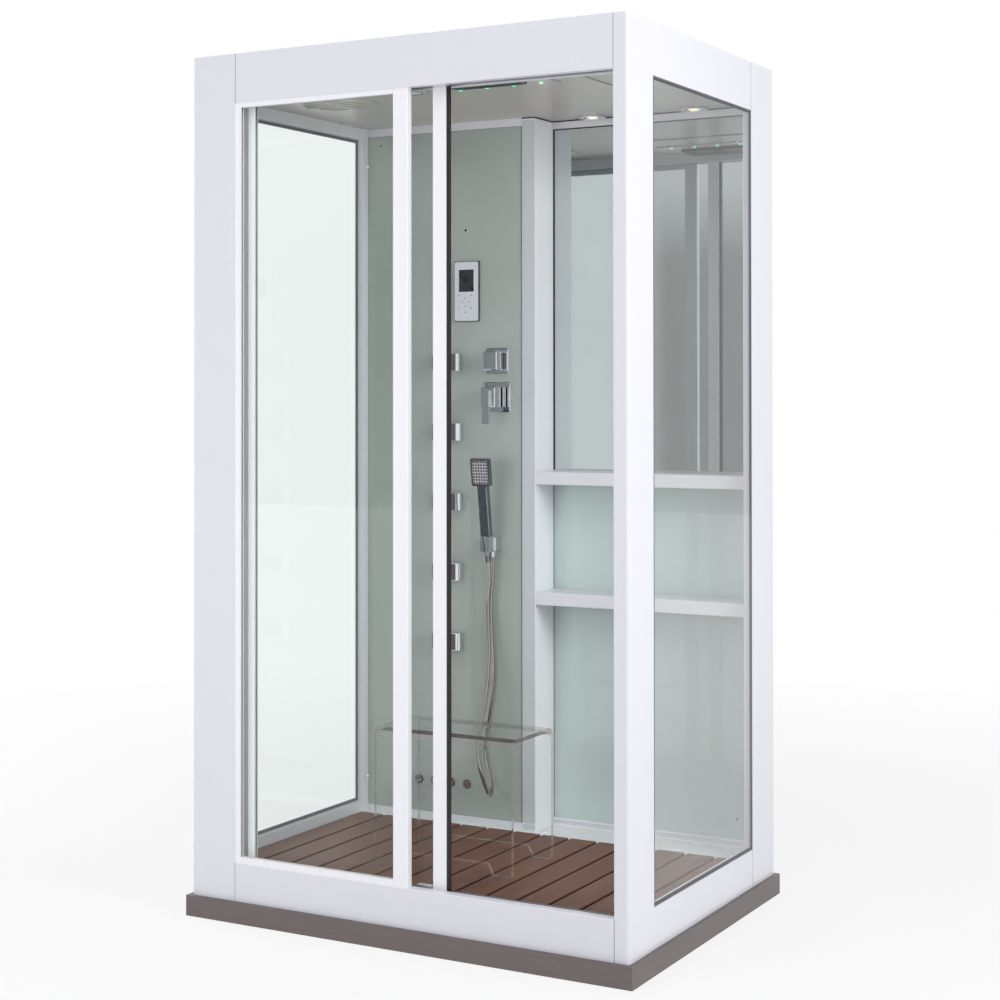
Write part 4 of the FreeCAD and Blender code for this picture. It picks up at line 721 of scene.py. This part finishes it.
def makeNozzles(padHeight, faceProud):
    low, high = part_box("jet_nozzle_pads")
    low.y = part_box("body_jets")[0].y - faceProud
    pitch = (high.z - low.z - padHeight) / 4
    for jet in range(5):
        middle = ((low.x + high.x) / 2, low.y, low.z + padHeight / 2 + jet * pitch)
        makeStuds("jet_nozzles_%d" % (jet + 1), jetLook, "nozzlePlastic", middle, (0, -1, 0),
                  (1, 0, 0))
    middle, outward = faceOf("spray_plate", (0, -0.98, -0.18))
    makeStuds("spray_nozzles", sprayLook, "sprayRubber", middle, outward, (1, 0, 0),
              "handset")
    low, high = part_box("rain_head")
    makeStuds("rain_nozzles", rainLook, "footRubber",
              ((low.x + high.x) / 2, (low.y + high.y) / 2, low.z), (0, 0, -1), (1, 0, 0))
    low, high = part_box("ceiling_lamps")
    makeStuds("colour_lamps", colourLampLook, "greenLamp", (0.146, -0.203, low.z),
              (0, 0, -1), (1, 0, 0))


makeJets({
    "height": 0.046, "depth": 0.029, "reach": 0.004,
    # (in from the side, back from the face) along the rounded shoulder
    "shoulder": ((0.0, 0.015), (0.0012, 0.0124), (0.0078, 0.0010), (0.0092, 0.0)),
    "faceInset": (9.6, 1.2),  # millimetres
    "faceProud": (0.7, 0.5),
})
makeNozzles(padHeight=0.030, faceProud=0.0007)
# Shadow grooves that part the turning knob from its base.
makeBars("diverter_grooves", [
    ((-127.9, 296.0, 1339.0), (-127.2, 301.5, 1384.0)),
    ((-127.9, 304.5, 1339.0), (-127.2, 308.6, 1384.0)),
], "darkGap", "diverter")
print("nozzles made")


# ---- control pad, sensor and caps ----
padLook = {
    "rim": 1.4,
    "rimReach": (309.0, 314.4),
    "proud": 0.25,
    # Keys: place across and up the pad, in millimetres, and half size.
    "roundKeys": ((-265, 1541, 2.2), (-226, 1541, 2.2), (-265, 1505, 1.8), (-226, 1506, 2.2)),
    "arrowKeys": ((-245, 1532, 90), (-255, 1522, 180), (-234, 1522, 0), (-245, 1511, 270)),
    "bar": (-245, 1494, 3.0, 1.0),
}


def makePad(look):
    low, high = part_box("control_pad")
    face = low.y * 1000
    x0, x1, z0, z1 = low.x * 1000, high.x * 1000, low.z * 1000, high.z * 1000
    rim = look["rim"]
    y0, y1 = look["rimReach"]
    makeBars("pad_rim", [
        ((x0 - 0.6, y0, z0 - rim), (x1 + 0.6, y1, z0)),
        ((x0 - 0.6, y0, z1), (x1 + 0.6, y1, z1 + rim)),
        ((x0 - rim, y0, z0 - rim), (x0, y1, z1 + rim)),
        ((x1, y0, z0 - rim), (x1 + rim, y1, z1 + rim)),
    ], "darkGap")
    bm = bmesh.new()
    back, front = (face + 0.4) / 1000, (face - look["proud"]) / 1000
    outlines = []
    for x, z, radius in look["roundKeys"]:
        outlines.append([(x + radius * math.cos(turn * math.pi / 8),
                          z + radius * math.sin(turn * math.pi / 8)) for turn in range(16)])
    for x, z, way in look["arrowKeys"]:
        outlines.append([(x + 3.0 * math.cos(math.radians(way + turn)),
                          z + 3.0 * math.sin(math.radians(way + turn)))
                         for turn in (0, 120, 240)])
    x, z, halfWide, halfTall = look["bar"]
    outlines.append([(x - halfWide, z - halfTall), (x + halfWide, z - halfTall),
                     (x + halfWide, z + halfTall), (x - halfWide, z + halfTall)])
    for outline in outlines:
        rings = [[bm.verts.new((x / 1000, y, z / 1000)) for x, z in outline]
                 for y in (front, back)]
        count = len(outline)
        bm.faces.new(rings[0])
        bm.faces.new(list(reversed(rings[1])))
        for step in range(count):
            after = (step + 1) % count
            bm.faces.new((rings[0][step], rings[1][step], rings[1][after], rings[0][after]))
    makePiece("pad_keys", bm, "keyMark")


makePad(padLook)


def addTurned(bm, profile, middle, outward, sides=24):
    # A turned piece: (radius, height) pairs from its foot, closed at both ends.
    place = turnedTo(middle, outward, (1, 0, 0) if abs(outward[0]) < 0.9 else (0, 1, 0))
    rings = []
    for radius, height in profile:
        rings.append([bm.verts.new(place @ Vector((
            radius * math.cos(2 * math.pi * step / sides),
            radius * math.sin(2 * math.pi * step / sides), height))) for step in range(sides)])
    for lower, upper in zip(rings, rings[1:]):
        for step in range(sides):
            after = (step + 1) % sides
            bm.faces.new((lower[step], lower[after], upper[after], upper[step]))
    bm.faces.new(list(reversed(rings[0])))
    bm.faces.new(rings[-1])


downlights = tuple(((x, y, 2.008), (0, 0, -1))
                   for x, y in ((0.107, 0.372), (0.394, 0.372), (-0.085, -0.215)))
turnedPieces = {
    # name: finish, slot, profile in metres, places with the way each looks
    "sensor_ring": ("chrome", "chrome", ((0.0055, -0.001), (0.0055, 0.0008), (0.0042, 0.0016),
                                         (0.0034, 0.0016)),
                    (((-0.247, 0.314, 1.717), (0, -1, 0)),)),
    "sensor_tip": ("blackRubber", "black_rubber", ((0.0033, 0.0010), (0.0033, 0.0026),
                                                   (0.0022, 0.0038)),
                   (((-0.247, 0.314, 1.717), (0, -1, 0)),)),
    "tower_cap": ("chrome", "chrome", ((0.0045, -0.001), (0.0045, 0.0012), (0.003, 0.002)),
                  (((-0.518, 0.314, 1.962), (0, -1, 0)),)),
    "ceiling_knob": ("fanPlastic", "fan_plastic", ((0.017, -0.001), (0.017, 0.003),
                                                   (0.013, 0.005), (0.006, 0.0056)),
                     (((-0.437, -0.135, 2.005), (0, 0, -1)),)),
    "ceiling_cap": ("darkGap", "black_rubber", ((0.010, -0.001), (0.010, 0.002),
                                                (0.007, 0.003)),
                    (((-0.493, -0.229, 2.011), (0, 0, -1)),)),
    "lamp_reflectors": ("fittingChrome", "chrome",
                        ((0.0262, -0.001), (0.0262, 0.0012), (0.0125, 0.0004)), downlights),
    "lamp_bulbs": ("lampLens", "lamp_lens", ((0.0135, 0.0002), (0.0135, 0.0016),
                                             (0.009, 0.0026)),
                   downlights[:2]),  # the one at the front is off
    "foot_collars": ("footCollar", "chrome",
                     ((0.0125, -0.001), (0.0125, 0.0022), (0.0098, 0.0042)),
                     tuple(((x, 0.314, 0.217), (0, -1, 0))
                           for x in (-0.394, -0.344, -0.294, -0.244))),
    "post_screws": ("chrome", "chrome", ((0.0045, -0.001), (0.0045, 0.0008), (0.003, 0.0014)),
                    (((0.545, 0.288, 1.905), (0, -1, 0)), ((-0.545, 0.288, 1.905), (0, -1, 0)),
                     ((0.545, 0.288, 0.215), (0, -1, 0)), ((-0.545, 0.288, 0.215), (0, -1, 0)))),
}


def makeTurnedPieces(look):
    for name, (finish, slot, profile, places) in look.items():
        bm = bmesh.new()
        for middle, outward in places:
            addTurned(bm, profile, middle, outward)
        makePiece(name, bm, finish, smooth=False)


makeTurnedPieces(turnedPieces)
makeBars("ceiling_slot", [
    ((122.0, -70.0, 2010.4), (172.0, -67.0, 2011.6)),
    ((122.0, -62.0, 2010.4), (172.0, -59.0, 2011.6)),
    ((120.0, -71.5, 2010.6), (123.0, -57.5, 2011.6)),
    ((171.0, -71.5, 2010.6), (174.0, -57.5, 2011.6)),
], "seamShadow")
print("pad, sensor and caps made")


# ---- screws, bolts and nuts ----
screwHead = (0.0042, 0.0026, 0.0014, 16)
hangerBolt = (0.005, 0.0047, 0.003, 6)
screwFields = {
    # name: columns, rows, their steps, middle, outward, (base and tip radius, height, sides), body
    "back_screws_tower": (2, 8, 0.440, 0.257, (-0.270, 0.4305, 1.06), (0, 1, 0), screwHead,
                          "cabin"),
    "back_screws_recess": (2, 8, 0.500, 0.257, (0.226, 0.4305, 1.06), (0, 1, 0), screwHead,
                           "cabin"),
    "roof_screws": (6, 2, 0.212, 0.760, (0.0, 0.03, 2.0985), (0, 0, 1), screwHead, "cabin"),
    "inlet_nuts": (2, 1, 0.100, 0.01, (-0.148, 0.434, 0.420), (0, 1, 0),
                   (0.020, 0.0188, 0.009, 6), "cabin"),
    "foot_nuts": (4, 2, 0.38067, 0.832, (0.0, 0.0, 0.0135), (0, 0, 1),
                  (0.009, 0.00846, 0.006, 6), "cabin"),
    "hanger_bolts_left": (2, 1, 0.030, 0.01, (-0.380, -0.3985, 1.992), (0, -1, 0), hangerBolt,
                          "door"),
    "hanger_bolts_right": (2, 1, 0.030, 0.01, (0.046, -0.3985, 1.992), (0, -1, 0), hangerBolt,
                           "door"),
}


def makeScrews(fields):
    for name, (columns, rows, across, up, middle, outward, head, body) in fields.items():
        base, tip, height, sides = head
        look = {"Columns": columns, "Rows": rows, "Column Step": across, "Row Step": up,
                "Base Radius": base, "Tip Radius": tip, "Height": height, "Sides": sides}
        along = (-1, 0, 0) if outward[1] > 0 else (1, 0, 0)
        makeStuds(name, look, "fittingChrome", middle, outward, along, body)


makeScrews(screwFields)
print("screws made")


# ---- stool: clear sheet with polished edges ----
stoolLook = {
    "edgeOpacity": 0.5,
    "bendOpacity": 0.28,
    "footTop": 0.2,  # cut edges that look down are below this height
}


def makeStool(look):
    # The cut edges and the bends get a half-clear grey-brown: painted reflection, standing for the
    # thin lines that clear edges show.
    for name, opacity in (("acrylicEdge", look["edgeOpacity"]),
                          ("acrylicBend", look["bendOpacity"])):
        grainedFinish(name, (176, 168, 162), (142, 132, 126), (186, 180, 175), (0.1, 0.2), 25,
                      Alpha=opacity)
    bm = bmesh.new()
    bm.from_mesh(nodes["stool"].data)
    bmesh.ops.remove_doubles(bm, verts=bm.verts[:], dist=0.000001)
    bmesh.ops.dissolve_limit(bm, angle_limit=0.01, verts=bm.verts[:], edges=bm.edges[:])
    for face in bm.faces:
        x, y = abs(face.normal.x), abs(face.normal.y)
        if x > 0.5 or face.normal.z < -0.9 and face.calc_center_median().z < look["footTop"]:
            face.material_index = 1  # cut edge
        elif 0.1 < y < 0.995:
            face.material_index = 2  # bend
        else:
            face.material_index = 0
    mesh = bpy.data.meshes.new("stool_sheet")
    bm.to_mesh(mesh)
    bm.free()
    piece = bpy.data.objects.new("stool_sheet", mesh)
    bpy.context.collection.objects.link(piece)
    for name in ("clearAcrylic", "acrylicEdge", "acrylicBend"):
        mesh.materials.append(finishes[name])
    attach(piece, "stool")
    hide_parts("stool")


makeStool(stoolLook)
print("stool made")


# ---- floor, lights and surroundings ----
studio = {
    "floorReach": 14.0,
    "floorColour": paint(236, 236, 238),
    "shadowShare": 0.22,
    "shadowFade": (1.2, 4.0),  # metres from the middle
    "ambient": 0.50,
    "ambientColour": paint(243, 243, 250),
    # What metal and mirror reflect of the room in front: degrees to the left of straight
    # ahead, and how bright the room is there.
    "room": ((-180, 0.6), (-134, 0.9), (-130, 0.02), (-112, 0.02), (-108, 1.0), (-40, 1.0),
             (-10, 0.45), (5, 0.26), (24.7, 0.26), (25.3, 0.85), (27.2, 0.85), (28.5, 0.16),
             (48, 0.16), (60, 0.8), (75, 1.0)),
    "roomAbove": 0.62,  # at least this bright higher up
    "roomRise": (0.07, 0.11),  # sine of the angle over which it gets so
    # place, aimed at, width, height, power
    "lamps": {
        "rightBox": ((3.1, -0.8, 2.0), (0.4, 0.0, 1.25), 1.3, 1.3, 51),
        "frontBox": ((-0.9, -2.5, 1.25), (-0.3, 0.0, 1.2), 1.3, 1.0, 15),
        "topBox": ((0.7, -1.8, 4.0), (0.2, -0.2, 1.4), 2.2, 2.2, 26),
        "leftBox": ((-3.4, 0.2, 1.5), (0.0, 0.2, 1.1), 2.0, 2.4, 36),
    },
}


def seenRays(tree, path):
    # 1 where the camera looks, straight, through a pane or by way of a mirror.
    either = addNode(tree, "ShaderNodeMath", {0: path.outputs["Is Camera Ray"],
                                              1: path.outputs["Is Glossy Ray"]},
                     operation="MAXIMUM")
    return addNode(tree, "ShaderNodeMath", {0: either.outputs[0],
                                            1: path.outputs["Is Transmission Ray"]},
                   operation="MAXIMUM")


def makeSurroundings(look):
    scene = bpy.context.scene
    scene.view_settings.view_transform = "Standard"
    world = bpy.data.worlds.new("whiteStudio")
    world.use_nodes = True
    scene.world = world
    tree = world.node_tree
    path = addNode(tree, "ShaderNodeLightPath")
    seen = seenRays(tree, path)
    aim = addNode(tree, "ShaderNodeTexCoord")
    apart = addNode(tree, "ShaderNodeSeparateXYZ", {0: aim.outputs["Generated"]})
    left = addNode(tree, "ShaderNodeMath", {0: apart.outputs["X"], 1: -1.0},
                   operation="MULTIPLY")
    ahead = addNode(tree, "ShaderNodeMath", {0: apart.outputs["Y"], 1: -1.0},
                    operation="MULTIPLY")
    heading = addNode(tree, "ShaderNodeMath", {0: left.outputs[0], 1: ahead.outputs[0]},
                      operation="ARCTAN2")
    along = spread(tree, heading.outputs[0], 0.0, 1.0, -math.pi, math.pi)
    room = addNode(tree, "ShaderNodeValToRGB", {"Fac": along})
    stops = room.color_ramp.elements
    for count, (angle, level) in enumerate(look["room"]):
        place = (angle + 180) / 360
        stop = stops[count] if count < 2 else stops.new(place)
        stop.position, stop.color = place, (level, level, level, 1)
    above = spread(tree, apart.outputs["Z"], 0, 1, *look["roomRise"])
    roomHigh = addNode(tree, "ShaderNodeMath", {0: room.outputs["Color"],
                                                1: look["roomAbove"]}, operation="MAXIMUM")
    roomAll = addNode(tree, "ShaderNodeMix", {0: above, 2: room.outputs["Color"],
                                              3: roomHigh.outputs[0]}, data_type="FLOAT")
    # Panes let the white background through; only what was mirrored shows the room.
    bounced = addNode(tree, "ShaderNodeMath", {0: path.outputs["Glossy Depth"], 1: 0.5},
                      operation="GREATER_THAN")
    mirrored = addNode(tree, "ShaderNodeMix", {0: bounced.outputs[0], 2: 1.0,
                                               3: roomAll.outputs[0]}, data_type="FLOAT")
    strength = addNode(tree, "ShaderNodeMix", {0: seen.outputs[0], 2: look["ambient"],
                                               3: mirrored.outputs[0]}, data_type="FLOAT")
    colour = mixColour(tree, seen.outputs[0], look["ambientColour"], (1, 1, 1, 1))
    background = tree.nodes["Background"]
    tree.links.new(colour, background.inputs["Color"])
    tree.links.new(strength.outputs[0], background.inputs["Strength"])

    floor = newFinish("paleFloor", look["floorColour"], Roughness=0.8)
    tree = floor.node_tree
    place = addNode(tree, "ShaderNodeTexCoord")
    away = addNode(tree, "ShaderNodeVectorMath", {0: place.outputs["Object"]},
                   operation="LENGTH")
    far = spread(tree, away.outputs["Value"], look["shadowShare"], 0.0, *look["shadowFade"])
    path = addNode(tree, "ShaderNodeLightPath")
    seen = seenRays(tree, path)
    white = addNode(tree, "ShaderNodeEmission", {"Color": (1, 1, 1, 1), "Strength": 1.0})
    shaded = addNode(tree, "ShaderNodeMixShader",
                     {0: far, 1: white.outputs["Emission"],
                      2: tree.nodes["Principled BSDF"].outputs["BSDF"]})
    either = addNode(tree, "ShaderNodeMixShader",
                     {0: seen.outputs[0], 1: tree.nodes["Principled BSDF"].outputs["BSDF"],
                      2: shaded.outputs["Shader"]})
    tree.links.new(either.outputs["Shader"],
                   tree.nodes["Material Output"].inputs["Surface"])
    mesh = bpy.data.meshes.new("floor")
    reach = look["floorReach"]
    mesh.from_pydata([(-reach, -reach, 0), (reach, -reach, 0), (reach, reach, 0),
                      (-reach, reach, 0)], [], [(0, 1, 2, 3)])
    mesh.materials.append(floor)
    ground = bpy.data.objects.new("floor", mesh)
    bpy.context.collection.objects.link(ground)

    for name, (place, target, width, height, power) in look["lamps"].items():
        lamp = bpy.data.lights.new(name, "AREA")
        lamp.shape = "RECTANGLE"
        lamp.size, lamp.size_y = width, height
        lamp.energy = power
        holder = bpy.data.objects.new(name, lamp)
        bpy.context.collection.objects.link(holder)
        holder.location = place
        holder.visible_camera = False
        holder.visible_transmission = False
        holder.visible_glossy = False
        aim = Vector(target) - Vector(place)
        holder.rotation_euler = aim.to_track_quat("-Z", "Y").to_euler()


makeSurroundings(studio)
print("studio ready")
